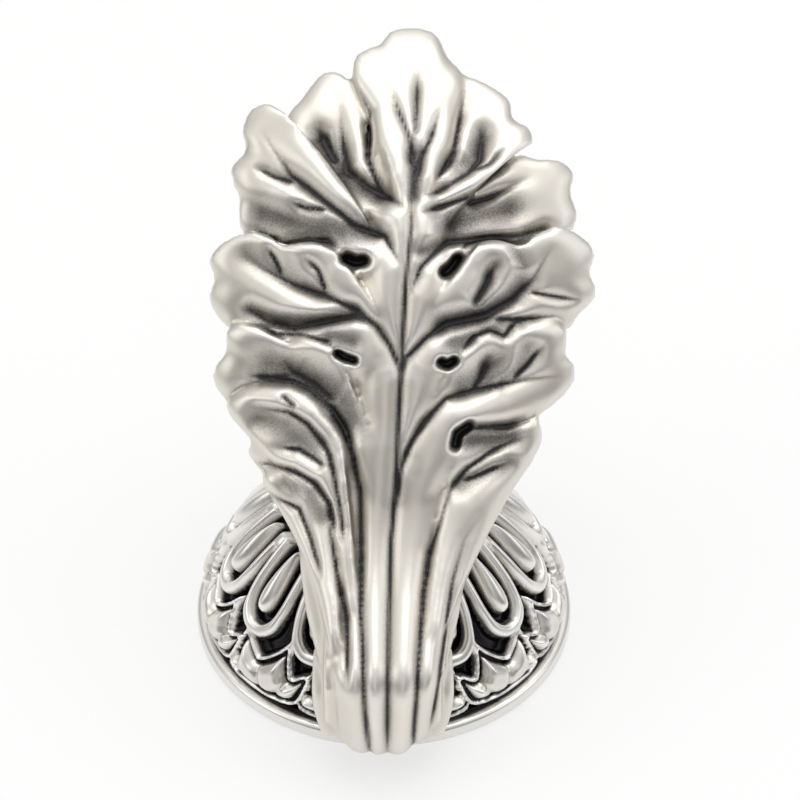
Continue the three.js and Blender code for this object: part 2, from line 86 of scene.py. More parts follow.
def makeFloor(setup):
    bm = bmesh.new()
    bmesh.ops.create_grid(bm, x_segments=1, y_segments=1, size=setup["floorSize"] * mm / 2)
    floor = newObject("floor", bm)
    mat = bpy.data.materials.new("floorPaper")
    mat.use_nodes = True
    nodes, links = mat.node_tree.nodes, mat.node_tree.links
    nodes.clear()
    out = addNode(nodes, "OutputMaterial")
    white = setup["floorWhite"]
    matt = addNode(nodes, "BsdfDiffuse", {"Color": (white, white, white, 1)})
    glow = addNode(nodes, "Emission", {"Strength": 1.0})
    mix = addNode(nodes, "MixShader")
    path = addNode(nodes, "LightPath")
    seen = addNode(nodes, "Math", operation="MAXIMUM")
    share = addNode(nodes, "Math", {1: setup["ownGlow"]}, operation="MULTIPLY")
    links.new(path.outputs["Is Camera Ray"], seen.inputs[0])
    links.new(path.outputs["Is Glossy Ray"], seen.inputs[1])
    links.new(seen.outputs[0], share.inputs[0])
    links.new(share.outputs[0], mix.inputs["Fac"])
    links.new(matt.outputs[0], mix.inputs[1])
    links.new(glow.outputs[0], mix.inputs[2])
    links.new(mix.outputs[0], out.inputs["Surface"])
    floor.data.materials.append(mat)


def makeWorld(setup):
    world = bpy.data.worlds.new("studio")
    world.use_nodes = True
    scene.world = world
    nodes, links = world.node_tree.nodes, world.node_tree.links
    nodes.clear()
    out = addNode(nodes, "OutputWorld")
    back = addNode(nodes, "Background")
    # light falls from overhead and behind, and less from the front and from low down
    coords = addNode(nodes, "TexCoord")
    parts = addNode(nodes, "SeparateXYZ")
    height = addNode(nodes, "MapRange", interpolation_type="SMOOTHSTEP", values={
        "From Min": 0.1, "To Min": setup["worldLow"], "To Max": setup["worldHigh"]})
    depth = addNode(nodes, "MapRange", values={
        "From Min": -1.0, "To Min": setup["worldFront"], "To Max": setup["worldBack"]})
    total = addNode(nodes, "Math", operation="ADD")
    path = addNode(nodes, "LightPath")
    mix = addNode(nodes, "Mix", {"B": (1, 1, 1, 1)}, data_type="RGBA")
    links.new(coords.outputs["Generated"], parts.inputs[0])
    links.new(parts.outputs["Z"], height.inputs["Value"])
    links.new(parts.outputs["Y"], depth.inputs["Value"])
    links.new(height.outputs["Result"], total.inputs[0])
    links.new(depth.outputs["Result"], total.inputs[1])
    links.new(total.outputs[0], mix.inputs["A"])
    links.new(path.outputs["Is Camera Ray"], mix.inputs["Factor"])
    links.new(mix.outputs["Result"], back.inputs["Color"])
    links.new(back.outputs[0], out.inputs["Surface"])


def makeLamps(lamps):
    for name, place, size, watts, colour in lamps:
        data = bpy.data.lights.new(name, "AREA")
        data.shape = "DISK"
        data.size = size * mm
        data.energy = watts
        data.color = colour
        lamp = bpy.data.objects.new(name, data)
        lamp.location = Vector(place) * mm
        aim = Vector((0, 0, 25)) * mm - lamp.location
        lamp.rotation_euler = aim.to_track_quat("-Z", "Y").to_euler()
        scene.collection.objects.link(lamp)


def newObject(name, bm):
    mesh = bpy.data.meshes.new(name)
    bm.to_mesh(mesh)
    bm.free()
    made = bpy.data.objects.new(name, mesh)
    scene.collection.objects.link(made)
    return made


makeCamera(cameraSetup)
makeFloor(stageSetup)
makeWorld(stageSetup)
makeLamps(lampSetup)
print("camera, floor and lamps are ready")

# mesh arrays: smoothing, hollows and shelter of a dense mesh


def meshArrays(mesh):
    places = np.empty(len(mesh.vertices) * 3, np.float32)
    mesh.vertices.foreach_get("co", places)
    pairs = np.empty(len(mesh.edges) * 2, np.int32)
    mesh.edges.foreach_get("vertices", pairs)
    return places.reshape(-1, 3).astype(float), pairs.reshape(-1, 2)


def vertexNormals(mesh):
    normals = np.empty(len(mesh.vertices) * 3, np.float32)
    mesh.vertex_normals.foreach_get("vector", normals)
    return normals.reshape(-1, 3).astype(float)


def evened(values, pairs, rounds, share=0.5):
    # each round moves every value part of the way to its neighbours' mean
    count = len(values)
    a, b = pairs[:, 0], pairs[:, 1]
    meets = np.maximum(np.bincount(a, minlength=count) + np.bincount(b, minlength=count), 1)
    flat = values.reshape(count, -1).copy()
    for _ in range(rounds):
        for k in range(flat.shape[1]):
            total = np.bincount(a, flat[b, k], count) + np.bincount(b, flat[a, k], count)
            flat[:, k] += share * (total / meets - flat[:, k])
    return flat.reshape(values.shape)


def shelterOf(mesh, places, normals, reach, rays):
    # share of short rays from each vertex that meet the piece itself, laid on as painted shade under its own
    # overhangs
    tree = BVHTree.FromPolygons([Vector(p) for p in places], [list(p.vertices) for p in mesh.polygons])
    golden = math.pi * (3 - math.sqrt(5))
    spread = []
    for i in range(rays):
        tilt = math.sqrt((i + 0.5) / rays)
        spread.append((tilt * math.cos(golden * i), tilt * math.sin(golden * i), math.sqrt(1 - tilt * tilt)))
    shelter = np.zeros(len(places))
    for i, (place, normal) in enumerate(zip(places, normals)):
        n = Vector(normal)
        side = n.orthogonal().normalized()
        other = n.cross(side)
        start = Vector(place) + n * (reach * 0.02)
        hits = 0.0
        for x, y, z in spread:
            found = tree.ray_cast(start, side * x + other * y + n * z, reach)
            if found[0] is not None:
                hits += 1 - 0.6 * found[3] / reach
        shelter[i] = hits / rays
    return shelter


def placeVertices(mesh, places):
    mesh.vertices.foreach_set("co", places.ravel())
    mesh.update()


def outward(places, pairs, normals, rounds):
    # how far each vertex lies below the mean of its surroundings, along its normal
    return ((evened(places, pairs, rounds) - places) * normals).sum(1)


def keepAttribute(mesh, name, values):
    layer = mesh.attributes.new(name, "FLOAT", "POINT")
    layer.data.foreach_set("value", np.clip(values, 0, 1).astype(np.float32))


def layPatinaAndShade(mesh, places, pairs, hollow, shape, share=1.0):
    # dark patina in the hollows and painted shade under shelter, polished on the high places
    normals = vertexNormals(mesh)
    near = outward(places, pairs, normals, shape["nearRounds"])
    broad = outward(places, pairs, normals, shape["broadRounds"])
    rays = shape["shelterRays"]
    shelter = evened(shelterOf(mesh, places, normals, shape["shelterReach"], rays), pairs, shape["evenRounds"])
    dark = hollow + shape["nearDark"] * np.clip(near, 0, 1) + shape["broadDark"] * np.clip(broad, 0, 1)
    # painted shade: the shelter term darkens the colour where the piece shades itself
    dark = dark + shape["paintedShadeDark"] * np.clip(shelter - shape["shelterFrom"], 0, 1)
    keepAttribute(mesh, "hollow", evened(dark, pairs, 1))
    polish = share * (-shape["nearPolish"] * near - shape["broadPolish"] * broad)
    keepAttribute(mesh, "polish", evened(polish, pairs, shape["evenRounds"]))


def finishPiece(made, node, material):
    made.data.transform(Matrix.Scale(mm, 4))
    made.data.materials.clear()
    made.data.materials.append(material)
    made.data.polygons.foreach_set("use_smooth", [True] * len(made.data.polygons))
    made.data.update()
    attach(made, "root")
    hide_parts(node)


# materials


patinaShadeInputs = [
    ("Hollow", "Float", 0.0), ("Polish", "Float", 0.0), ("Silver", "Color", (0.8, 0.77, 0.72, 1)),
    ("Bright", "Color", (0.9, 0.88, 0.85, 1)), ("Dark", "Color", (0.03, 0.03, 0.04, 1)),
    ("Grain", "Float", 0.2), ("Start", "Float", 0.25), ("End", "Float", 0.8),
    ("Rough silver", "Float", 0.34), ("Rough patina", "Float", 0.45),
]
patinaShadeOutputs = [("Colour", "Color"), ("Roughness", "Float"), ("Metallic", "Float"), ("Height", "Float")]


patinaGrain = {"fine": 5200.0, "broad": 420.0, "cloud": 0.14, "roughness": 0.12, "darkMetal": 0.55}


def silverPatinaAndShade():
    # silver that is polished on the high places and keeps dark patina, with a sprayed edge, in the hollows; the
    # same dark colour also lays on the painted shade carried by the Hollow input
    group = bpy.data.node_groups.new("silverPatinaAndShade", "ShaderNodeTree")
    for name, kind, value in patinaShadeInputs:
        socket = group.interface.new_socket(name=name, in_out="INPUT", socket_type="NodeSocket" + kind)
        socket.default_value = value
    for name, kind in patinaShadeOutputs:
        group.interface.new_socket(name=name, in_out="OUTPUT", socket_type="NodeSocket" + kind)
    nodes, links = group.nodes, group.links
    enter = nodes.new("NodeGroupInput")
    leave = nodes.new("NodeGroupOutput")
    coords = addNode(nodes, "TexCoord")
    fine = addNode(nodes, "TexNoise", {"Scale": patinaGrain["fine"], "Detail": 3.0, "Roughness": 0.7})
    broad = addNode(nodes, "TexNoise", {"Scale": patinaGrain["broad"], "Detail": 4.0, "Roughness": 0.6})
    for noise in (fine, broad):
        links.new(coords.outputs["Object"], noise.inputs["Vector"])

    def speckle(a, b, scale):
        # a, plus b taken about its middle and scaled
        shifted = addNode(nodes, "Math", {1: -0.5}, operation="ADD")
        scaled = addNode(nodes, "Math", operation="MULTIPLY")
        total = addNode(nodes, "Math", operation="ADD")
        links.new(b, shifted.inputs[0])
        links.new(shifted.outputs[0], scaled.inputs[0])
        if isinstance(scale, float):
            scaled.inputs[1].default_value = scale
        else:
            links.new(scale, scaled.inputs[1])
        links.new(a, total.inputs[0])
        links.new(scaled.outputs[0], total.inputs[1])
        return total.outputs[0]

    def mixed(kind, factor, a, b):
        mix = addNode(nodes, "Mix", data_type=kind)
        for socket, source in (("Factor", factor), ("A", a), ("B", b)):
            links.new(source, mix.inputs[socket])
        return mix.outputs["Result"]

    given = enter.outputs
    speckled = speckle(given["Hollow"], fine.outputs["Fac"], given["Grain"])
    clouded = speckle(speckled, broad.outputs["Fac"], patinaGrain["cloud"])
    dark = addNode(nodes, "MapRange", interpolation_type="SMOOTHSTEP")
    links.new(clouded, dark.inputs["Value"])
    links.new(given["Start"], dark.inputs["From Min"])
    links.new(given["End"], dark.inputs["From Max"])
    lit = mixed("RGBA", given["Polish"], given["Silver"], given["Bright"])
    colour = mixed("RGBA", dark.outputs["Result"], lit, given["Dark"])
    rough = mixed("FLOAT", dark.outputs["Result"], given["Rough silver"], given["Rough patina"])
    roughGrain = speckle(rough, fine.outputs["Fac"], patinaGrain["roughness"])
    metal = addNode(nodes, "MapRange", {"To Min": 1.0, "To Max": patinaGrain["darkMetal"]})
    links.new(dark.outputs["Result"], metal.inputs["Value"])
    links.new(colour, leave.inputs["Colour"])
    links.new(roughGrain, leave.inputs["Roughness"])
    links.new(metal.outputs["Result"], leave.inputs["Metallic"])
    links.new(fine.outputs["Fac"], leave.inputs["Height"])
    return group


patinaShadeGroup = silverPatinaAndShade()

leafFinish = {
    "Silver": (0.71, 0.672, 0.605, 1), "Bright": (0.94, 0.92, 0.885, 1), "Dark": (0.026, 0.0245, 0.024, 1),
    "Grain": 0.4, "Start": 0.08, "End": 0.9, "Rough silver": 0.4, "Rough patina": 0.34,
}
plateFinish = {
    "Silver": (0.7, 0.67, 0.615, 1), "Bright": (0.95, 0.94, 0.92, 1), "Dark": (0.01, 0.01, 0.013, 1),
    "Grain": 0.08, "Start": 0.24, "End": 0.66, "Rough silver": 0.3, "Rough patina": 0.2,
}


def agedSilverWithShade(name, finish, grainHeight):
    mat = bpy.data.materials.new(name)
    mat.use_nodes = True
    nodes, links = mat.node_tree.nodes, mat.node_tree.links
    shader = nodes["Principled BSDF"]
    effect = addNode(nodes, "Group", finish, node_tree=patinaShadeGroup)
    # the hollow attribute holds dark patina and painted shade
    hollow = addNode(nodes, "Attribute", attribute_name="hollow")
    polish = addNode(nodes, "Attribute", attribute_name="polish")
    bump = addNode(nodes, "Bump", {"Strength": 0.25, "Distance": grainHeight * mm})
    links.new(hollow.outputs["Fac"], effect.inputs["Hollow"])
    links.new(polish.outputs["Fac"], effect.inputs["Polish"])
    links.new(effect.outputs["Colour"], shader.inputs["Base Color"])
    links.new(effect.outputs["Roughness"], shader.inputs["Roughness"])
    links.new(effect.outputs["Metallic"], shader.inputs["Metallic"])
    links.new(effect.outputs["Height"], bump.inputs["Height"])
    links.new(bump.outputs["Normal"], shader.inputs["Normal"])
    return mat


# the leaf's own coordinates: u across, v up its front face, h out of that face

leafLine = {
    "start": (-18.8, 3.0), "heading": 195.0,
    "bends": [(1.2, 190), (5.2, 97), (5.6, 86), (4.2, 24), (6, 24), (11, 52), (14, 54), (20, 30), (14, 20)],
    "lean": 0.05, "leanStart": 5.0, "sag": 0.008,
}


def walkLine(line):
    lengths = np.cumsum([0] + [b[0] for b in line["bends"]])
    turns = [line["heading"]] + [b[1] for b in line["bends"]]
    v = np.linspace(0, lengths[-1], 650)
    turn = np.radians(np.interp(v, lengths, turns))
    middle = (turn[1:] + turn[:-1]) / 2
    step = v[1] - v[0]
    y = line["start"][0] + np.concatenate([[0], np.cumsum(np.cos(middle) * step)])
    z = line["start"][1] + np.concatenate([[0], np.cumsum(np.sin(middle) * step)])
    return v, y, z, turn


lineV, lineY, lineZ, lineTurn = walkLine(leafLine)


def onLeaf(u, v, h):
    turn = np.interp(v, lineV, lineTurn)
    out = h - leafLine["sag"] * u * u
    y = np.interp(v, lineV, lineY) - out * np.sin(turn)
    z = np.interp(v, lineV, lineZ) + out * np.cos(turn)
    return np.stack([u + 0 * v, y, z], -1)


def offLeaf(places):
    # the way back, from a place to the nearest part of the leaf's line
    nearest = np.empty(len(places), int)
    for first in range(0, len(places), 20000):
        part = places[first:first + 20000]
        away = (part[:, 1, None] - lineY) ** 2 + (part[:, 2, None] - lineZ) ** 2
        nearest[first:first + 20000] = away.argmin(1)
    dy = places[:, 1] - lineY[nearest]
    dz = places[:, 2] - lineZ[nearest]
    turn = lineTurn[nearest]
    v = lineV[nearest] + dy * np.cos(turn) + dz * np.sin(turn)
    u = places[:, 0]
    h = -dy * np.sin(turn) + dz * np.cos(turn) + leafLine["sag"] * u * u
    facing = np.stack([0.016 * u, -np.sin(turn), np.cos(turn)], -1)
    return u, v, h, facing / np.linalg.norm(facing, axis=1)[:, None]


def midrib(v):
    return leafLine["lean"] * (v - leafLine["leanStart"])


# the lobes

thinnest = 0.8    # least thickness of a lobe or the stem
lobeShape = {
    "across": 64, "along": 44, "wall": 2.0, "rootSpread": 0.9, "rollPower": 6,
    # the margin hangs at the lower corner and stands up at the upper one, with a rolled rim inside a dish
    "rollHigh": 0.35, "rollLow": 1.5, "dish": 0.35, "dishAt": 0.76, "dishWidth": 0.16,
    "rim": 0.25, "rimAt": 0.95, "rimWidth": 0.05,
    # the root is sunk below the blade
    "sunk": 1.4, "sunkTo": 0.14,
}
# each lobe: root, upper and lower bend, height at the upper and the lower corner, swelling and outline
lobes = {
    "tip": {"side": 1, "root": (2.8, 55), "bend": ((1.6, 60.5), (4.6, 60.5)),
     "lift": -0.2, "drop": -0.2, "crown": 1.1,
     "edge": [(-1.3, 65), (-1.1, 69), (-2.2, 72.5), (-3.1, 75), (-2.7, 77.1), (-1.4, 78.1), (-0.4, 78.5),
              (0.3, 79.8), (1.6, 80.6), (4, 80.7), (5.4, 79.9), (6.4, 77.5), (7.6, 76), (8.1, 74),
              (7.9, 70.5), (7.3, 66.8)]},
    "upper left back": {"side": -1, "root": (1.5, 57), "bend": ((0.4, 62), (-1.5, 61)),
     "lift": -1.4, "drop": -1.0, "crown": 0.8,
     "edge": [(-3, 74.6), (-4.6, 76.1), (-6.3, 75.7), (-8, 73.3), (-9.6, 71), (-9, 67)]},
    "upper left": {"side": -1, "root": (1.5, 51), "bend": ((-1, 60.5), (-3, 56)),
     "lift": 0.5, "drop": -1.4, "crown": 1.1,
     "edge": [(-9.6, 70.7), (-11.1, 71.9), (-12.9, 71.5), (-13.8, 69.3), (-13.4, 67.4), (-14.8, 65.8),
              (-14.6, 63.8), (-14, 62.6), (-14.2, 60.5), (-13.6, 58.5)]},
    "upper right": {"side": 1, "root": (3.2, 54), "bend": ((5.2, 63), (5.5, 60)),
     "lift": -1.2, "drop": 0.4, "crown": 0.9,
     "edge": [(8.2, 75.6), (10.4, 74.6), (12.4, 73), (12.8, 70.8), (14.3, 70), (14.8, 68.2)]},
    "back right": {"side": 1, "root": (2.6, 49), "bend": ((5, 60.5), (8, 54.5)),
     "lift": -2.0, "drop": -1.6, "crown": 0.9,
     "edge": [(13.4, 67.6), (15, 67.2), (17.1, 67.4), (18.7, 66.2), (18.4, 63.6), (19, 61.6), (18.6, 59.4)]},
    "left fill": {"side": -1, "root": (2, 56), "bend": ((-0.5, 64), (-3, 60)),
     "lift": -2.3, "drop": -2.3, "crown": 0.2, "edge": [(-0.5, 74), (-2.6, 73.6), (-4.5, 72), (-8, 68.5)]},
    "right fill": {"side": 1, "root": (3, 52), "bend": ((4.5, 62), (7, 57)),
     "lift": -2.4, "drop": -2.4, "crown": 0.2, "edge": [(8, 71), (11, 69.5), (14, 66.5), (16, 62)]},
    "left third": {"side": -1, "root": (1.3, 41), "bend": ((0.2, 51.5), (-5, 46)),
     "lift": 1.0, "drop": -1.4, "crown": 1.1,
     "edge": [(-4.9, 56.4), (-6.8, 57.2), (-8.6, 57.1), (-9.9, 57), (-10.9, 58.1), (-12.5, 58.6),
              (-14.4, 58.2), (-16, 57.3), (-16.9, 55.8), (-16.4, 54), (-16.9, 52), (-16.4, 50.3), (-15, 48.5)]},
    "left second": {"side": -1, "root": (-0.6, 31), "bend": ((-1.4, 42), (-6, 38.5)),
     "lift": 1.0, "drop": -1.2, "crown": 1.1,
     "edge": [(-5, 46.9), (-6.3, 47.5), (-7.8, 47.7), (-9.1, 47.3), (-10.5, 48.1), (-12, 48.9),
              (-14, 49.1), (-15.3, 48.1), (-15.2, 46.5), (-16.4, 44.7), (-16.4, 43), (-15, 41.2)]},
    "left first": {"side": -1, "root": (-2.6, 19), "bend": ((-3, 32), (-6, 32)),
     "lift": 1.9, "drop": -1.0, "crown": 1.0,
     "edge": [(-4, 38.6), (-5.5, 40.7), (-7.3, 42.4), (-9.1, 43.1), (-11.6, 43.1), (-13.7, 42.5),
              (-15.1, 41.4), (-15, 40.3), (-14, 39)]},
    "left base back": {"side": -1, "root": (-3.6, 23), "bend": ((-4.5, 33), (-6.5, 30.5)),
     "lift": -0.6, "drop": -1.6, "crown": 0.8,
     "edge": [(-9, 38.6), (-12.3, 38), (-13.1, 36.3), (-11.6, 34.6)]},
    "left base": {"side": -1, "root": (-4.4, 17), "bend": ((-4.3, 27), (-6.5, 27.5)),
     "lift": 1.2, "drop": -1.2, "crown": 0.9,
     "edge": [(-5.5, 31.6), (-6.8, 33.3), (-8.7, 34.4), (-11.1, 34.9), (-11.8, 33.9), (-11.3, 33)]},
    "right third": {"side": 1, "root": (2.4, 41), "bend": ((3.8, 50.5), (8, 46)),
     "lift": 1.0, "drop": -1.4, "crown": 1.1,
     "edge": [(8.4, 56), (9.6, 57.3), (11.2, 57.6), (13.4, 57), (14.8, 58.4), (16.5, 59.4), (18.2, 59.1),
              (19.8, 58.1), (20.6, 56.7), (20.1, 54.6), (20.8, 53), (20.5, 51.6), (19.2, 50.3), (18.2, 48.4)]},
    "right second": {"side": 1, "root": (2.4, 29), "bend": ((3.2, 41), (7, 37.5)),
     "lift": 1.0, "drop": -1.2, "crown": 1.1,
     "edge": [(7.7, 46), (8.8, 47.3), (10.1, 48), (11.3, 47.6), (12.2, 47.4), (13.6, 48.8), (15.2, 49.4),
              (16.8, 49.3), (17.9, 48.1), (17.7, 46), (18.6, 45), (18.6, 43.3), (17.2, 41.6), (14.6, 39.8)]},
    "right first": {"side": 1, "root": (4.4, 17), "bend": ((4.6, 32), (8.5, 28.5)),
     "lift": 0.8, "drop": -1.4, "crown": 1.0,
     "edge": [(8.2, 38.8), (9, 39.7), (10.9, 39.2), (13.6, 39.5), (15, 40), (15.5, 38.6), (15.5, 37.6),
              (14.4, 35.3)]},
}


def alongEdge(edge, t):
    # smooth line through the outline's points, t from 0 to 1
    points = np.array([(2 * edge[0][0] - edge[1][0], 2 * edge[0][1] - edge[1][1]), *edge,
                       (2 * edge[-1][0] - edge[-2][0], 2 * edge[-1][1] - edge[-2][1])])
    last = len(edge) - 1
    k = min(int(t * last), last - 1)
    f = t * last - k
    p0, p1, p2, p3 = points[k:k + 4]
    bent = 2 * p0 - 5 * p1 + 4 * p2 - p3
    return 0.5 * (2 * p1 + (p2 - p0) * f + bent * f * f + (3 * p1 - p0 - 3 * p2 + p3) * f ** 3)


def lobePlace(lobe, s, t, back):
    # s from the root to the outline, t along the outline
    end = alongEdge(lobe["edge"], t)
    high, low = np.array(lobe["bend"][0]), np.array(lobe["bend"][1])
    bend = high + (low - high) * t
    root = np.array((lobe["root"][0] + lobe["side"] * lobeShape["rootSpread"] * (t - 0.5), lobe["root"][1]))
    u, v = (1 - s) ** 2 * root + 2 * s * (1 - s) * bend + s * s * end
    level = (lobe["lift"] + (lobe["drop"] - lobe["lift"]) * t) * min(1, 1.4 * s)
    pillow = lobe["crown"] * math.sin(math.pi * min(1, 0.08 + 0.84 * t)) ** 0.5 * (1 - s ** 4) * min(1, 3.2 * s)
    upper, lower = lobeShape["rollHigh"], lobeShape["rollLow"]
    roll = (upper + (lower - upper) * t) * s ** lobeShape["rollPower"]
    dish = lobeShape["dish"] * math.exp(-((s - lobeShape["dishAt"]) / lobeShape["dishWidth"]) ** 2)
    rim = lobeShape["rim"] * math.exp(-((s - lobeShape["rimAt"]) / lobeShape["rimWidth"]) ** 2)
    sunk = lobeShape["sunk"] * max(0, 1 - s / lobeShape["sunkTo"]) ** 2
    h = level + pillow - roll - dish + rim - sunk
    if back:
        h = min(level - lobeShape["wall"] * (1 - 0.3 * s), h - thinnest)
    return onLeaf(np.array(u), np.array(v), np.array(h))


def addSheet(bm, across, along, placeOf):
    # closed sheet with a front and a back: placeOf takes x and y from 0 to 1 and whether it is the back
    spot = bm.verts.layers.float_vector["spot"]
    front = bmesh.ops.create_grid(bm, x_segments=across, y_segments=along, size=0.5)["verts"]
    for vert in front:
        vert[spot] = (vert.co.x + 0.5, vert.co.y + 0.5, 0)
    faces = list({face for vert in front for face in vert.link_faces})
    grown = bmesh.ops.extrude_face_region(bm, geom=faces, use_keep_orig=True)["geom"]
    back = [item for item in grown if isinstance(item, bmesh.types.BMVert)]
    for vert in back:
        vert[spot] = (vert[spot][0], vert[spot][1], 1)
    for vert in front + back:
        x, y, behind = vert[spot]
        vert.co = placeOf(x, y, behind > 0.5)


def addLobe(bm, lobe):
    addSheet(bm, lobeShape["across"], lobeShape["along"], lambda x, y, back: lobePlace(lobe, y, x, back))


# stem, bracket, post and spigot

stemShape = {
    "across": 40, "along": 170, "end": 64.0,
    "halfWidth": [(0, 3.4), (4, 4.1), (12, 4.8), (16, 5.3), (22, 5.6), (29, 6.3), (36, 6), (45, 4.6),
                  (54, 3.2), (64, 1.6)],
    "depth": [(0, 1.6), (6, 2.3), (17, 2.4), (22, 2.4), (26, 3), (31, 5), (38, 4.5), (50, 3.2), (64, 2.2)],
    "middle": 0.5, "shoulder": 1.8,
}
bracketShape = {
    "side": [(-18.7, 4.2), (-19.6, 3.6), (-21.5, 6.2), (-21.9, 11), (-20.3, 13), (-15, 15.4), (-7.4, 21.4),
             (-2, 28), (0, 27), (0, 15.5), (-10.9, 15.5), (-14.2, 12.4), (-16.8, 8.9), (-18.4, 5.2)],
    "halfWidth": 5.6,
}
postShape = {
    "outline": [(0, 15.5), (6.2, 15.5), (6.2, 16.3), (5.6, 17), (4.7, 18.7), (4.7, 23), (5.5, 26), (0, 26)],
}
spigotShape = {
    "outline": [(2.25, 6.5), (2.6, 6.5), (3, 6.9), (3, 19.5), (0, 19.5), (0, 14.55), (2.25, 14.55),
                (2.25, 6.5)],
}
flankPipes = [
    # across, y, z and radius of each place on the pipe
    [(5.9, -1, 22.6, 2), (6.2, -8, 18.4, 2.1), (6, -13.6, 15.2, 1.7), (5, -17, 11.5, 1.5), (4.2, -19.8, 8, 1)],
    [(6.1, -15.8, 10.8, 0.6), (5.9, -18.2, 8.6, 1.1), (5.6, -19.4, 5.5, 1.2), (5, -19.9, 3.2, 0.9)],
    [(4.6, -17, 11, 0.9), (4.3, -20, 8.5, 1.2), (4, -20.9, 5.4, 1.2), (3.6, -20.6, 3.6, 0.9)],
]


def stations(table, v):
    return float(np.interp(v, [row[0] for row in table], [row[1] for row in table]))


def stemPlace(across, share, back):
    x, v = 2 * across - 1, share * stemShape["end"]
    u = midrib(v) + x * stations(stemShape["halfWidth"], v)
    h = stemShape["middle"] - stemShape["shoulder"] * abs(x) ** 3.5
    if back:
        h = min(-stations(stemShape["depth"], v), h - thinnest)
    return onLeaf(np.array(u), np.array(v), np.array(h))


# blade: the middle of the leaf, unbroken as far out as the eyes between its lobes
bladeShape = {
    "across": 12, "along": 50, "from": 30, "to": 67, "front": 1.35, "fall": 3.0, "back": -2.4,
    "halfWidth": [(30, 6.6), (38, 6), (46, 5.2), (55, 5), (60, 4.6), (63, 3.2), (67, 2.2)],
}


def bladePlace(across, share, back):
    # rounded sheet that closes the gaps between the roots of the lobes
    x = 2 * across - 1
    risen = min(1.0, 0.2 + 4 * share) * min(1.0, 0.3 + 3 * (1 - share))
    h = bladeShape["back"] if back else bladeShape["front"] * risen - bladeShape["fall"] * abs(x) ** 3
    v = bladeShape["from"] + share * (bladeShape["to"] - bladeShape["from"])
    u = midrib(v) + x * stations(bladeShape["halfWidth"], v)
    return onLeaf(np.array(u), np.array(v), np.array(h))


def addBracket(bm):
    half = bracketShape["halfWidth"]
    corners = [bm.verts.new((-half, y, z)) for y, z in bracketShape["side"]]
    face = bm.faces.new(corners)
    grown = bmesh.ops.extrude_face_region(bm, geom=[face], use_keep_orig=True)["geom"]
    moved = [item for item in grown if isinstance(item, bmesh.types.BMVert)]
    bmesh.ops.translate(bm, verts=moved, vec=(2 * half, 0, 0))


def addTurned(bm, outline, steps):
    corners = [bm.verts.new((r, 0, z)) for r, z in outline]
    edges = [bm.edges.new(pair) for pair in zip(corners, corners[1:])]
    bmesh.ops.spin(bm, geom=corners + edges, axis=(0, 0, 1), cent=(0, 0, 0), steps=steps,
                   angle=math.radians(360), use_merge=True)


def addPipe(bm, places, side):
    curve = bpy.data.curves.new("pipe", "CURVE")
    curve.dimensions = "3D"
    curve.bevel_depth = 1.0
    curve.bevel_resolution = 6
    curve.use_fill_caps = True
    line = curve.splines.new("NURBS")
    line.points.add(len(places) - 1)
    for point, (x, y, z, radius) in zip(line.points, places):
        point.co = (side * x, y, z, 1)
        point.radius = radius
    line.use_endpoint_u = True
    line.order_u = 3
    holder = bpy.data.objects.new("pipe", curve)
    scene.collection.objects.link(holder)
    bpy.context.view_layer.update()
    mesh = bpy.data.meshes.new_from_object(holder.evaluated_get(bpy.context.evaluated_depsgraph_get()))
    bm.from_mesh(mesh)
    bpy.data.objects.remove(holder)
    bpy.data.meshes.remove(mesh)


# carving: veins, sprayed hollows and eyes as lines in u and v
carving = {
    "crease": 0.62, "deepen": 0.85, "deepest": 1.25, "most": 1.9,
    # the back of the sheet follows the front from here up the leaf, down to this depth
    "sheetFrom": 36, "sheetShare": 0.9, "sheetDepth": 4.2, "frontDepth": 4.5,
    "backFrom": 30, "backFade": 6, "bothShare": 0.25,
    # patina and lineDark darken the veins: patina in the grooves, and painted shade along the lobe margins
    "spray": 0.6, "patina": 0.3, "line": 0.19, "lineDark": 0.62, "sprayed": 0.82,
}
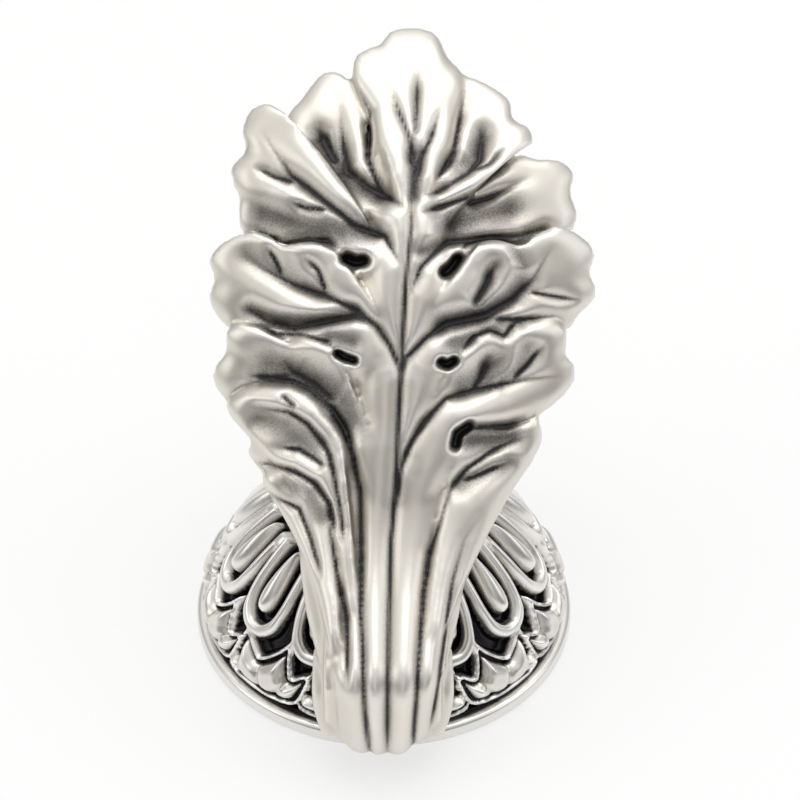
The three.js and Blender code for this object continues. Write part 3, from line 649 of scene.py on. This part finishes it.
# sprayed hollows: points, half width, darkness and depth of the dish
sprays = [
    ([(-11.6, 60.4), (-8.2, 58.9), (-4, 58), (-1.5, 57.8)], 1.7, 0.75, 0.7),
    ([(-6, 68.5), (-4.6, 66), (-3.2, 63.4), (-0.7, 61.6)], 1.5, 0.8, 0.8),
    ([(3.2, 65.8), (3.1, 61.5)], 1.0, 0.75, 0.5),
    ([(-0.7, 66), (0.4, 64.5)], 0.9, 0.35, 0.2),
    ([(-9.1, 63.9), (-6.8, 61.9), (-4.9, 60.2), (-1.8, 58.5)], 1.1, 0.5, 0.4),
    ([(-13, 56), (-10.2, 54.4), (-6.3, 52.3)], 1.6, 0.5, 0.6),
    ([(-12.9, 50.6), (-10.2, 49.4), (-6.3, 49.5), (-2.9, 50.2)], 1.0, 0.75, 0.6),
    ([(-11, 45.2), (-8.2, 44.4), (-4.9, 42.9), (-3.4, 40)], 2.2, 0.7, 0.9),
    ([(-5.1, 48), (-2.9, 47.5)], 1.0, 0.7, 0.4),
    ([(-12, 39.9), (-9.3, 39), (-6.3, 37.6)], 1.5, 0.6, 0.6),
    ([(-9.5, 33.8), (-7, 33), (-5.8, 30.5)], 1.0, 0.6, 0.4),
    ([(7.2, 65.2), (8.9, 66.3), (9.6, 68.5)], 1.4, 0.7, 0.7),
    ([(6.9, 59.2), (9.4, 60.4), (12.2, 61.3)], 2.0, 0.85, 1.0),
    ([(3.6, 56), (6.9, 57.5), (10.5, 58), (13.3, 58.2), (15.6, 59.3)], 0.9, 0.7, 0.5),
    ([(5.7, 49.2), (9.4, 49.8), (12.2, 51.4), (13.6, 53.1)], 1.5, 0.7, 0.8),
    ([(10.8, 55), (10.1, 53), (9.1, 51.1)], 1.1, 0.6, 0.5),
    ([(12.7, 56.3), (13.5, 55)], 0.9, 0.6, 0.3),
    ([(9.9, 49), (13.3, 49.1)], 0.9, 0.6, 0.4),
    ([(6.9, 47.3), (8.5, 47.9)], 1.3, 0.65, 0.4),
    ([(7.7, 43.3), (9.9, 44.1), (10.8, 45.5)], 1.7, 0.65, 0.8),
    ([(14.1, 46.9), (13.3, 44.9), (11.6, 43.6)], 1.2, 0.55, 0.5),
    ([(8.3, 38), (10.5, 38.2), (12.5, 38.4)], 1.4, 0.8, 0.8),
    ([(12.2, 35.8), (9.8, 34.8), (7.5, 33.5)], 1.1, 0.6, 0.4),
]


# each vein: points, cut depth and spread of its soft sides
veins = [
    # midrib
    ([(3.5, 75.7), (3.3, 70), (3.1, 67.3), (2.9, 63), (2.7, 57.9), (2.2, 53), (1.8, 45), (1.5, 40),
      (1.3, 34.2), (0.8, 28.5), (0.6, 21.4), (0.5, 12.6), (0.4, 5), (0.4, 0)], 1.2, 1.2),
    # grooves of the stem
    ([(-6.2, 33.6), (-5.5, 31.9), (-4.9, 28.5), (-4.3, 24.6), (-3.5, 21.4), (-3.4, 18.6), (-3.4, 14)], 1, 0.9),
    ([(-13.7, 42.4), (-11.6, 43), (-9.1, 43), (-7.3, 42.3), (-5.4, 40.4), (-4.2, 39.5), (-2.8, 36.4),
      (-2.2, 33.1), (-2.1, 28.5), (-2.1, 21.4), (-1.9, 17.5), (-1.7, 10.7), (-1.3, 5.3), (-1.2, 0)], 1.15, 0.9),
    ([(-6.8, 39), (-5.5, 37.1), (-4.7, 34.7), (-4.1, 31.6), (-3.7, 28)], 0.9, 0.8),
    ([(7.1, 42.3), (5.1, 40.8), (3, 38.2), (1.8, 35.6), (1.4, 32.3), (1.1, 31)], 1, 0.9),
    ([(12, 37.7), (9.7, 35.4), (7.1, 34.1), (6.2, 32.3), (5.3, 29.5), (4.5, 27.2), (3.9, 23.2), (3.5, 17.7),
      (3.3, 13.9), (3, 8), (2.8, 0)], 1.2, 1.0),
    ([(9.3, 30.9), (7.8, 28.5), (6.7, 24.6), (6.2, 21.4), (5.5, 16.4), (5.1, 10.7), (4.6, 6)], 0.9, 0.8),
    # groove along the edge above each lobe that lies over the next one up; its dark line is painted shade under
    # that edge
    ([(-15.4, 41.6), (-13.6, 43), (-11.5, 43.6), (-9, 43.6), (-7, 42.8), (-5, 41), (-3.6, 38.8), (-2.9, 36.5),
      (-2.4, 33)], 1.6, 0.8),
    ([(-13.2, 35.7), (-11.2, 35.6), (-8.6, 35), (-6.6, 33.9), (-5.2, 32), (-4.6, 29)], 1.6, 0.8),
    ([(-14.5, 58.7), (-12.4, 59), (-9.8, 57.5), (-7.4, 57.6), (-5.4, 57.3), (-4.2, 56.4)], 0.9, 0.6),
    ([(-14, 49.5), (-12.4, 49.2), (-10.3, 48.1), (-7.7, 48.1), (-5.4, 47.4), (-4.6, 46.6)], 0.9, 0.6),
    ([(15.2, 59), (13.1, 57.6), (11.5, 58), (9.6, 57.9), (8, 57), (7.4, 56)], 0.9, 0.6),
    ([(15, 49.9), (12.8, 49.2), (11.8, 47.9), (10.4, 48.5), (8.9, 48), (7.5, 46.3)], 0.9, 0.6),
    # sides of the tip lobe and the edge over the right-hand hollow
    ([(-3, 74.5), (-1.3, 70.7), (-1.4, 67.5), (-1.5, 65.7), (-0.1, 62.1), (2.1, 60.1)], 1.5, 0.8),
    ([(8, 74.1), (7.5, 70.1), (6.9, 66.6), (4.9, 62.7)], 1.2, 0.8),
    ([(13.9, 64.5), (10.5, 62.6), (7.7, 61.5), (5.2, 60.5), (3.8, 59.8)], 1.4, 0.8),
    ([(14.7, 40), (12.2, 39.2), (9.1, 39.2), (7.2, 38.9)], 1.1, 0.7),
    # tip lobe
    ([(3.5, 75.7), (3.3, 71.5), (3.1, 67.3)], 0.9, 1.2),
    ([(0.6, 73.2), (1.5, 70.5), (2.6, 67.5), (2.9, 64)], 0.9, 1.0),
    ([(5.6, 70.8), (4.6, 67.4), (3.8, 65.7), (3.2, 63)], 0.9, 1.0),
    # upper left lobes
    ([(-11.5, 68.4), (-9, 64.3), (-6, 61.5), (-2.8, 58.7), (0.2, 57.6), (1.8, 54.4)], 1.2, 1.3),
    ([(-4.3, 72.2), (-3.9, 68), (-3.5, 64.8), (-1.5, 63), (0.5, 61.7), (2.2, 60)], 1.4, 1.4),
    ([(-6.6, 70.3), (-5.4, 67.5), (-4.4, 65.5)], 1, 1.2),
    ([(-9.2, 61.5), (-7.3, 60.6), (-5.4, 60.3)], 0.9, 1.0),
    ([(-12.6, 65.4), (-10.4, 64), (-8.4, 63.4)], 0.8, 1.0),
    # upper right lobes
    ([(9.9, 70.3), (9.6, 66), (8.3, 64.3), (6.2, 62.7), (4.2, 61.5)], 1.4, 1.4),
    ([(11.9, 67.2), (10.4, 65.4), (8.8, 64.5)], 1, 1.0),
    ([(16.3, 59.5), (13.2, 58.5), (10.3, 57.9), (6.3, 57.3), (3.6, 54.4), (2.6, 51.7)], 1.2, 1.3),
    # left third
    ([(-13.6, 56.1), (-11.6, 54.6), (-8.7, 53), (-5.7, 51.9), (-2.7, 50.6), (-0.6, 49), (0.7, 47.1),
      (1.5, 45.2), (1.7, 43)], 1.5, 1.5),
    ([(-7.8, 55.9), (-6.2, 54.3), (-5.5, 52.1)], 1, 1.0),
    ([(-13, 50.7), (-11.3, 49.2), (-8.7, 48.7), (-5.4, 49.4), (-2.6, 49.9), (-0.4, 48.6)], 1.3, 1.3),
    ([(-11.4, 57.2), (-10.4, 55.4), (-9.8, 53.9)], 0.7, 0.9),
    # left second
    ([(-9.8, 46), (-8.8, 44.4), (-6.6, 43.2), (-4.6, 41.5)], 1.3, 2.0),
    ([(-13.4, 44), (-11.2, 43.9), (-9, 44.1)], 0.95, 1.4),
    # left first
    ([(-12.7, 41.4), (-10.9, 41), (-9.1, 40.7), (-7.3, 39.6), (-6, 38), (-5.1, 36.6), (-4.3, 33.5)], 1, 1.0),
    ([(-10, 42.5), (-8.4, 41.1)], 0.7, 0.8),
    ([(-10.8, 37.3), (-8.1, 37.1), (-5.4, 35.5)], 1, 1.1),
    ([(-11.6, 34.1), (-11.4, 33), (-10, 32.3), (-8.1, 31.5), (-7, 28.8), (-5.9, 25)], 0.8, 0.8),
    # right third
    ([(16.2, 56.7), (14.6, 53.7), (12.8, 51.6), (10.1, 50), (6.3, 49.2), (4.2, 47.8), (2.3, 46), (1.9, 43.5)],
     1.5, 1.5),
    ([(10.9, 55.4), (10.1, 53), (8.8, 50.8)], 1.2, 1.3),
    ([(16.8, 49.9), (13.7, 49.6), (10.6, 49.6)], 1, 1.1),
    ([(19.2, 51.6), (16.5, 52), (14, 52.4)], 0.7, 0.8),
    # right second
    ([(16.8, 44), (13.6, 43.6), (9, 42.7), (6.1, 42), (3.9, 39.8), (2.3, 37.1), (1.5, 34)], 1.4, 1.4),
    ([(15.7, 47.2), (14.1, 45), (12.6, 43.6)], 1, 1.1),
    ([(10.5, 46.3), (9.6, 43.8), (8.6, 42.6)], 1.2, 1.3),
    # right first
    ([(13.9, 38.2), (10.6, 36.8), (8.2, 35.3), (6.1, 32.8)], 1.2, 1.2),
    ([(12.2, 35.8), (9.8, 34.8), (7.5, 34)], 0.8, 1.0),
]
eyes = [
    # points, half width and depth of each pit; each pit is also painted dark as painted shade of the gap under
    # the lobe above
    ([(-3.5, 55.5), (-2.6, 55.2), (-1.9, 55.3)], 0.68, 2.2),
    ([(-4.4, 46.3), (-3.5, 45.9), (-2.8, 45.7)], 0.42, 2.0),
    ([(6, 54.2), (6.7, 54.7), (7.3, 55.6)], 0.6, 2.2),
    ([(5.7, 45.5), (6.3, 45.2), (6.9, 45.6)], 0.52, 2.0),
    ([(7.1, 37.6), (7.3, 38.6), (8.4, 39.3)], 0.62, 2.1),
]


def awayFromLine(u, v, points):
    # distance of each vertex from a vein's line, and its share of the way along
    line = np.array(points, float)
    lengths = np.linalg.norm(np.diff(line, axis=0), axis=1)
    total = lengths.sum()
    best = np.full(len(u), 1e9)
    share = np.zeros(len(u))
    before = 0.0
    for (a, b), length in zip(zip(line, line[1:]), lengths):
        way = (b - a) / length
        t = np.clip((u - a[0]) * way[0] + (v - a[1]) * way[1], 0, length)
        away = np.hypot(u - a[0] - way[0] * t, v - a[1] - way[1] * t)
        closer = away < best
        best[closer] = away[closer]
        share[closer] = (before + t[closer]) / total
        before += length
    return best, share


def carveLeaf(places, normals):
    u, v, h, facing = offLeaf(places)
    front = np.clip(((normals * facing).sum(1) - 0.05) / 0.4, 0, 1) * (h > -carving["frontDepth"])
    cutDown = np.zeros(len(places))
    hollow = np.zeros(len(places))
    for points, cut, spread in veins:
        away, share = awayFromLine(u, v, points)
        # a vein is faint at its outer end, and a little so at its root and at the foot of the stem
        taper = np.clip(0.15 + share * 2.6, 0, 1) * np.clip(0.35 + (1 - share) * 5, 0, 1)
        taper = taper * np.clip(0.35 + v / 12, 0, 1)
        crease = np.exp(-away / (carving["crease"] * spread)) * taper
        sprayed = np.exp(-(away / (carving["spray"] * spread)) ** 1.4) * taper
        depth = min(carving["deepen"] * cut, carving["deepest"])
        cutDown = np.maximum(cutDown, depth * crease)
        fine = np.exp(-(away / carving["line"]) ** 2) * taper
        # dark patina in the veins; along the lobe margins in the list the same dark line is painted shade under
        # the edge above
        hollow = np.maximum(hollow, carving["patina"] * sprayed + carving["lineDark"] * fine)
    dish = np.zeros(len(places))
    for points, spread, darkness, depth in sprays:
        away, _ = awayFromLine(u, v, points)
        sprayed = np.exp(-(away / spread) ** 2)
        dish = np.maximum(dish, depth * sprayed)
        both = np.minimum(hollow, darkness * sprayed)
        hollow = np.maximum(hollow, carving["sprayed"] * darkness * sprayed) + carving["bothShare"] * both
    cutDown = np.minimum(cutDown + dish, carving["most"])
    pit = np.zeros(len(places))
    pitPaintedShade = np.zeros(len(places))
    for points, halfWidth, depth in eyes:
        away, _ = awayFromLine(u, v, points)
        bowl = np.exp(-1.2 * (away / halfWidth) ** 2)
        pit = np.maximum(pit, depth * bowl)
        # painted shade: the bottom of each eye pit is painted dark
        pitPaintedShade = np.maximum(pitPaintedShade, 1.8 * np.clip(bowl - 0.28, 0, 1))
    sheet = np.clip((h + carving["sheetDepth"]) / 1.2, 0, 1) * (v > carving["sheetFrom"])
    bent = cutDown * np.maximum(front, carving["sheetShare"] * sheet)
    behind = np.clip(-(normals * facing).sum(1) / 0.4, 0, 1)
    behind = behind * np.clip((v - carving["backFrom"]) / carving["backFade"], 0, 1)
    return -facing * np.maximum(bent, pit * front)[:, None], np.maximum(hollow, pitPaintedShade) * front, behind


# the leaf knob as one casting

leafPiece = {"voxel": 0.29, "softening": 5, "backSoftening": 60}
leafPatinaAndShade = {
    "nearRounds": 8, "broadRounds": 40, "evenRounds": 3, "nearDark": 0.6, "broadDark": 0.3, "paintedShadeDark": 1.0,
    "shelterReach": 5.0, "shelterRays": 14, "quickRays": 4, "shelterFrom": 0.34,
    "nearPolish": 3.5, "broadPolish": 0.7,
}


def makeLeafKnob(piece):
    bm = bmesh.new()
    bm.verts.layers.float_vector.new("spot")
    for lobe in lobes.values():
        addLobe(bm, lobe)
    addSheet(bm, stemShape["across"], stemShape["along"], stemPlace)
    addSheet(bm, bladeShape["across"], bladeShape["along"], bladePlace)
    addBracket(bm)
    addTurned(bm, postShape["outline"], 64)
    addTurned(bm, spigotShape["outline"], 48)
    for places in flankPipes:
        addPipe(bm, places, 1)
        addPipe(bm, places, -1)
    bmesh.ops.recalc_face_normals(bm, faces=bm.faces[:])
    rough = newObject("leafRough", bm)
    print("leaf knob: parts placed,", len(rough.data.vertices), "vertices")
    remesh = rough.modifiers.new("cast", "REMESH")
    remesh.mode = "VOXEL"
    remesh.voxel_size = piece["voxel"]
    bpy.context.view_layer.update()
    mesh = bpy.data.meshes.new_from_object(rough.evaluated_get(bpy.context.evaluated_depsgraph_get()))
    bpy.data.objects.remove(rough)
    places, pairs = meshArrays(mesh)
    print("leaf knob: cast,", len(places), "vertices")
    places = evened(places, pairs, piece["softening"])
    placeVertices(mesh, places)
    move, hollow, behind = carveLeaf(places, vertexNormals(mesh))
    places = evened(places + move, pairs, 1, 0.4)
    # the back of the leaf is plain: only its broad forms stay
    plain = evened(places, pairs, piece["backSoftening"])
    places = places + (plain - places) * evened(behind, pairs, 6)[:, None]
    placeVertices(mesh, places)
    print("leaf knob: carved")
    layPatinaAndShade(mesh, places, pairs, hollow, leafPatinaAndShade)
    print("leaf knob: patina laid")
    mesh.name = "leafKnob"
    made = bpy.data.objects.new("leafKnob", mesh)
    scene.collection.objects.link(made)
    finishPiece(made, "leaf_knob", agedSilverWithShade("leafSilver", leafFinish, 0.02))


makeLeafKnob(leafPiece)

# the backplate

plateShape = {
    "radius": 19.0, "rimHeight": 1.7, "rimWidth": 1.7, "rimEdge": 0.45, "backBand": 2.2, "wall": 1.6,
    "collarHeight": 15.5, "collarRadius": 9.3, "foot": (17.1, 1.3), "waist": (17.0, 8.0), "neck": (9.5, 14.4),
    "socket": 3.3, "bossWall": 2.2, "bossBottom": 6.0, "domeRows": 100, "steps": 640, "sideLength": 15.85,
    "ground": -0.5, "lotusCount": 12, "eggCount": 14, "groundDark": 0.9, "plainPolish": 0.25,
}
platePatinaAndShade = {
    "nearRounds": 4, "broadRounds": 24, "evenRounds": 2, "nearDark": 3.5, "broadDark": 1.4, "paintedShadeDark": 1.1,
    "shelterReach": 3.0, "shelterRays": 10, "quickRays": 3, "shelterFrom": 0.25,
    "nearPolish": 6, "broadPolish": 2,
}
# outlines on the dome: mm across and share of the way up its side
lotusShape = {
    "outline": [[(-1.9, 0.05), (-4.6, 0.08), (-5.6, 0.18), (-6.1, 0.37)],
                [(-6.1, 0.37), (-5, 0.35), (-4.05, 0.3)],
                [(-4.05, 0.3), (-3.5, 0.42), (-3, 0.585)], [(-3, 0.585), (-2.1, 0.47), (-1, 0.38), (0, 0.325)],
                [(0, 0.325), (1.1, 0.39), (2.3, 0.46)], [(2.3, 0.46), (3, 0.36), (3.2, 0.26)],
                [(3.2, 0.26), (4.1, 0.255), (4.9, 0.24)],
                [(4.9, 0.24), (4.7, 0.14), (3.2, 0.06), (0.6, 0.045), (-1.9, 0.05)]],
    "creases": [[(0, 0.33), (-0.5, 0.2), (-1.1, 0.08)], [(-4.05, 0.3), (-3.1, 0.18), (-2.0, 0.07)],
                [(3.2, 0.26), (1.9, 0.16), (0.4, 0.07)]],
    "ribbon": 1.3, "ribbonWidth": 0.52, "groove": -0.1, "grooveWidth": 0.2, "petal": 1.8, "petalWidth": 1.35,
    "ribbonRise": 0.34, "reach": 7.0,
}
eggShape = {
    "half": [(0.35, 0.98), (0.75, 0.9), (1.1, 0.78), (1.2, 0.67), (0.85, 0.59), (0, 0.56)],
    "height": 1.7, "width": 1.15,
    "loop": [(1.75, 1.02), (2.0, 0.86), (2.15, 0.68), (1.85, 0.55), (1.0, 0.475), (0, 0.46)],
    "loopHalf": 0.68, "loopWiden": 0.22, "loopHeight": 1.3,
    "bead": [(0.5, 1.0), (0.55, 0.92), (0, 0.85)], "beadHeight": 1.4, "beadWidth": 0.5,
}


def domeAt(w):
    foot, waist, neck = (np.array(plateShape[key]) for key in ("foot", "waist", "neck"))
    w = np.asarray(w, float)[..., None]
    place = (1 - w) ** 2 * foot + 2 * w * (1 - w) * waist + w * w * neck
    slope = (1 - w) * (waist - foot) + w * (neck - waist)
    slope = slope / np.linalg.norm(slope, axis=-1)[..., None]
    return place[..., 0], place[..., 1], slope[..., 1], -slope[..., 0]


def plateOutline(shape):
    radius, edge = shape["radius"], shape["rimEdge"]
    boss = shape["socket"] + shape["bossWall"]
    ceiling = shape["collarHeight"] - shape["wall"]
    r, z, nr, nz = domeAt(np.linspace(0, 1, shape["domeRows"]))
    inR, inZ, inNr, inNz = domeAt(np.array([1, 0.78, 0.55, 0.33, 0.12]))
    inner = [*zip((inR - shape["wall"] * inNr).tolist(), (inZ - shape["wall"] * inNz).tolist())]
    top = shape["collarHeight"]
    return [
        (radius - shape["backBand"], 0), (radius - edge, 0), (radius - 0.1, edge * 0.45), (radius, edge),
        (radius, shape["rimHeight"] - edge), (radius - 0.13, shape["rimHeight"] - 0.13),
        (radius - edge, shape["rimHeight"]), (radius - shape["rimWidth"] + 0.25, shape["rimHeight"]),
        (radius - shape["rimWidth"], shape["rimHeight"] - 0.2),
        *zip(r.tolist(), z.tolist()),
        (shape["collarRadius"], shape["neck"][1] + 0.2), (shape["collarRadius"], top - 0.3),
        (shape["collarRadius"] - 0.3, top), (shape["socket"], top), (shape["socket"], shape["bossBottom"]),
        (boss, shape["bossBottom"]), (boss, ceiling), (inner[0][0] - 0.6, ceiling), *inner,
        (radius - shape["backBand"], 0.6), (radius - shape["backBand"], 0),
    ]


def insideOf(x, y, corners):
    # signed distance to a closed outline, positive inside
    away = np.full(len(x), 1e9)
    odd = np.zeros(len(x), bool)
    for (ax, ay), (bx, by) in zip(corners, corners[1:] + corners[:1]):
        length = (bx - ax) ** 2 + (by - ay) ** 2
        t = np.clip(((x - ax) * (bx - ax) + (y - ay) * (by - ay)) / length, 0, 1)
        away = np.minimum(away, np.hypot(x - ax - t * (bx - ax), y - ay - t * (by - ay)))
        crosses = (ay > y) != (by > y)
        odd ^= crosses & (x < (bx - ax) * (y - ay) / (by - ay + 1e-12) + ax)
    return np.where(odd, away, -away)


def soft(x):
    x = np.clip(x, 0, 1)
    return x * x * (3 - 2 * x)


def domed(d, width):
    # rounded height across a raised strip or body, from its edge inwards
    return np.sqrt(np.clip(1 - (1 - np.clip(d / width, 0, 1)) ** 2, 0, 1))


def bothSides(half):
    return half + [(-x, y) for x, y in reversed(half) if x]


def raised(height, inside, top, width, ground):
    # height of the ornament with one more rounded body on it
    body = ground + (top - ground) * domed(inside, width)
    return np.maximum(height, np.where(inside > 0, body, ground))


def curved(points, each=5):
    # the same points joined by a smooth curve
    padded = [points[0], *points, points[-1]]
    out = []
    for four in zip(padded, padded[1:], padded[2:], padded[3:]):
        for t in (k / each for k in range(each)):
            out.append(tuple(0.5 * (2 * q + (r - p) * t + (2 * p - 5 * q + 4 * r - s) * t * t
                                    + (3 * q - p - 3 * r + s) * t ** 3) for p, q, r, s in zip(*four)))
    return [*out, tuple(points[-1])]


def lotusHeight(x, y, shape, ground, length):
    # a rounded ribbon round the flower, a dark groove inside it and full petals parted by creases
    d = insideOf(x, y, [(a, b * length) for run in shape["outline"] for a, b in curved(run)[:-1]])
    ribbon = ground + (shape["ribbon"] - ground) * domed(d, shape["ribbonRise"])
    inner = shape["ribbonWidth"]
    valley = ribbon - (ribbon - shape["groove"]) * soft((d - inner) / 0.14)
    full = domed(d - inner - shape["grooveWidth"], shape["petalWidth"])
    body = valley + (shape["petal"] - shape["groove"]) * full
    parted = np.zeros(len(x))
    for line in shape["creases"]:
        away, share = awayFromLine(x, y, [(a, b * length) for a, b in line])
        parted = np.maximum(parted, np.exp(-away / 0.2) * (1 - 0.55 * share))
    return d, body - 0.8 * parted * soft((d - inner) / 0.2)


def ornamentHeight(azimuth, w, r):
    length, ground = plateShape["sideLength"], plateShape["ground"]
    height = np.full(len(w), ground)
    y = w * length
    # both halves of the plate are alike, and each flower lies over the one nearer the front
    fromFront = np.abs((azimuth + 90 + 180) % 360 - 180)
    step = 360 / plateShape["lotusCount"]
    for k in range(plateShape["lotusCount"] // 2):
        x = np.radians(fromFront - (k + 0.5) * step) * r
        near = np.abs(x) < lotusShape["reach"]
        d, flower = lotusHeight(x[near], y[near], lotusShape, ground, length)
        height[near] = np.where(d > 0, np.maximum(flower, ground), height[near])

    def across(count, shift=0.0):
        step = 360 / count
        off = (azimuth + 90 - shift + step / 2) % step - step / 2
        return np.radians(off) * r

    x = across(plateShape["eggCount"])
    egg = insideOf(x, y, [(a, b * length) for a, b in curved(bothSides(eggShape["half"]))])
    height = raised(height, egg, eggShape["height"], eggShape["width"], ground)
    away, _ = awayFromLine(x, y, [(a, b * length) for a, b in curved(bothSides(eggShape["loop"]))])
    loop = eggShape["loopHalf"] + eggShape["loopWiden"] * soft((0.62 - w) / 0.14) - away
    height = raised(height, loop, eggShape["loopHeight"], eggShape["loopHalf"], ground)
    x = across(plateShape["eggCount"], 180 / plateShape["eggCount"])
    bead = insideOf(x, y, [(a, b * length) for a, b in bothSides(eggShape["bead"])])
    height = raised(height, bead, eggShape["beadHeight"], eggShape["beadWidth"], ground)
    fade = soft(y / 0.35) * soft((length - y) / 0.4)
    return height * fade, height


def makeBackplate(shape):
    bm = bmesh.new()
    addTurned(bm, plateOutline(shape), shape["steps"])
    bmesh.ops.remove_doubles(bm, verts=bm.verts[:], dist=0.0005)
    bmesh.ops.recalc_face_normals(bm, faces=bm.faces[:])
    made = newObject("backplate", bm)
    mesh = made.data
    mesh.name = "backplateCasting"
    places, pairs = meshArrays(mesh)
    r = np.hypot(places[:, 0], places[:, 1])
    table = np.linspace(0, 1, 400)
    tableR, tableZ, _, _ = domeAt(table)
    w = np.interp(places[:, 2], tableZ, table)
    onDome = (np.abs(np.interp(w, table, tableR) - r) < 0.02) & (places[:, 2] > shape["foot"][1] - 0.01)
    onDome &= places[:, 2] < shape["neck"][1] + 0.01
    azimuth = np.degrees(np.arctan2(places[:, 1], places[:, 0]))
    lift, height = ornamentHeight(azimuth, w, r)
    _, _, nr, nz = domeAt(w)
    out = np.stack([places[:, 0] / r * nr, places[:, 1] / r * nr, nz], -1)
    places = places + out * (lift * onDome)[:, None]
    places = np.where(onDome[:, None], evened(places, pairs, 2), places)
    placeVertices(mesh, places)
    print("backplate: ornament raised,", len(places), "vertices")
    dark = onDome * shape["groundDark"] * soft((0.3 - height) / 0.6)
    layPatinaAndShade(mesh, places, pairs, dark, platePatinaAndShade, np.where(onDome, 1.0, shape["plainPolish"]))
    print("backplate: patina laid")
    finishPiece(made, "backplate", agedSilverWithShade("plateSilver", plateFinish, 0.015))


makeBackplate(plateShape)

# the threaded insert keeps its solid and gets a turned brass finish

insertFinish = {
    "brass": (0.72, 0.52, 0.24, 1), "shade": (0.42, 0.28, 0.12, 1), "rough": (0.28, 0.48), "grain": 900.0,
    "pitch": 0.8, "grooveDepth": 0.2,
}
onePerUnit = 0.31    # scale at which a wave texture has one band to the metre


def turnedBrass(finish):
    mat = bpy.data.materials.new("turnedBrass")
    mat.use_nodes = True
    nodes, links = mat.node_tree.nodes, mat.node_tree.links
    shader = nodes["Principled BSDF"]
    shader.inputs["Metallic"].default_value = 1.0
    coords = addNode(nodes, "TexCoord")
    wave = addNode(nodes, "TexWave", {"Scale": onePerUnit / (finish["pitch"] * mm)}, bands_direction="Z")
    noise = addNode(nodes, "TexNoise", {"Scale": finish["grain"]})
    mix = addNode(nodes, "Mix", {"A": finish["brass"], "B": finish["shade"]}, data_type="RGBA")
    rough = addNode(nodes, "MapRange", {"To Min": finish["rough"][0], "To Max": finish["rough"][1]})
    bump = addNode(nodes, "Bump", {"Strength": 0.6, "Distance": finish["grooveDepth"] * mm})
    links.new(coords.outputs["Object"], wave.inputs["Vector"])
    links.new(coords.outputs["Object"], noise.inputs["Vector"])
    links.new(noise.outputs["Fac"], mix.inputs["Factor"])
    links.new(noise.outputs["Fac"], rough.inputs["Value"])
    links.new(wave.outputs["Fac"], bump.inputs["Height"])
    links.new(mix.outputs["Result"], shader.inputs["Base Color"])
    links.new(rough.outputs["Result"], shader.inputs["Roughness"])
    links.new(bump.outputs["Normal"], shader.inputs["Normal"])
    return mat


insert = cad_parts["threaded_insert"]
insert.data.materials.clear()
insert.data.materials.append(turnedBrass(insertFinish))
print("threaded insert: brass finish on")

scene.view_settings.view_transform = "Standard"
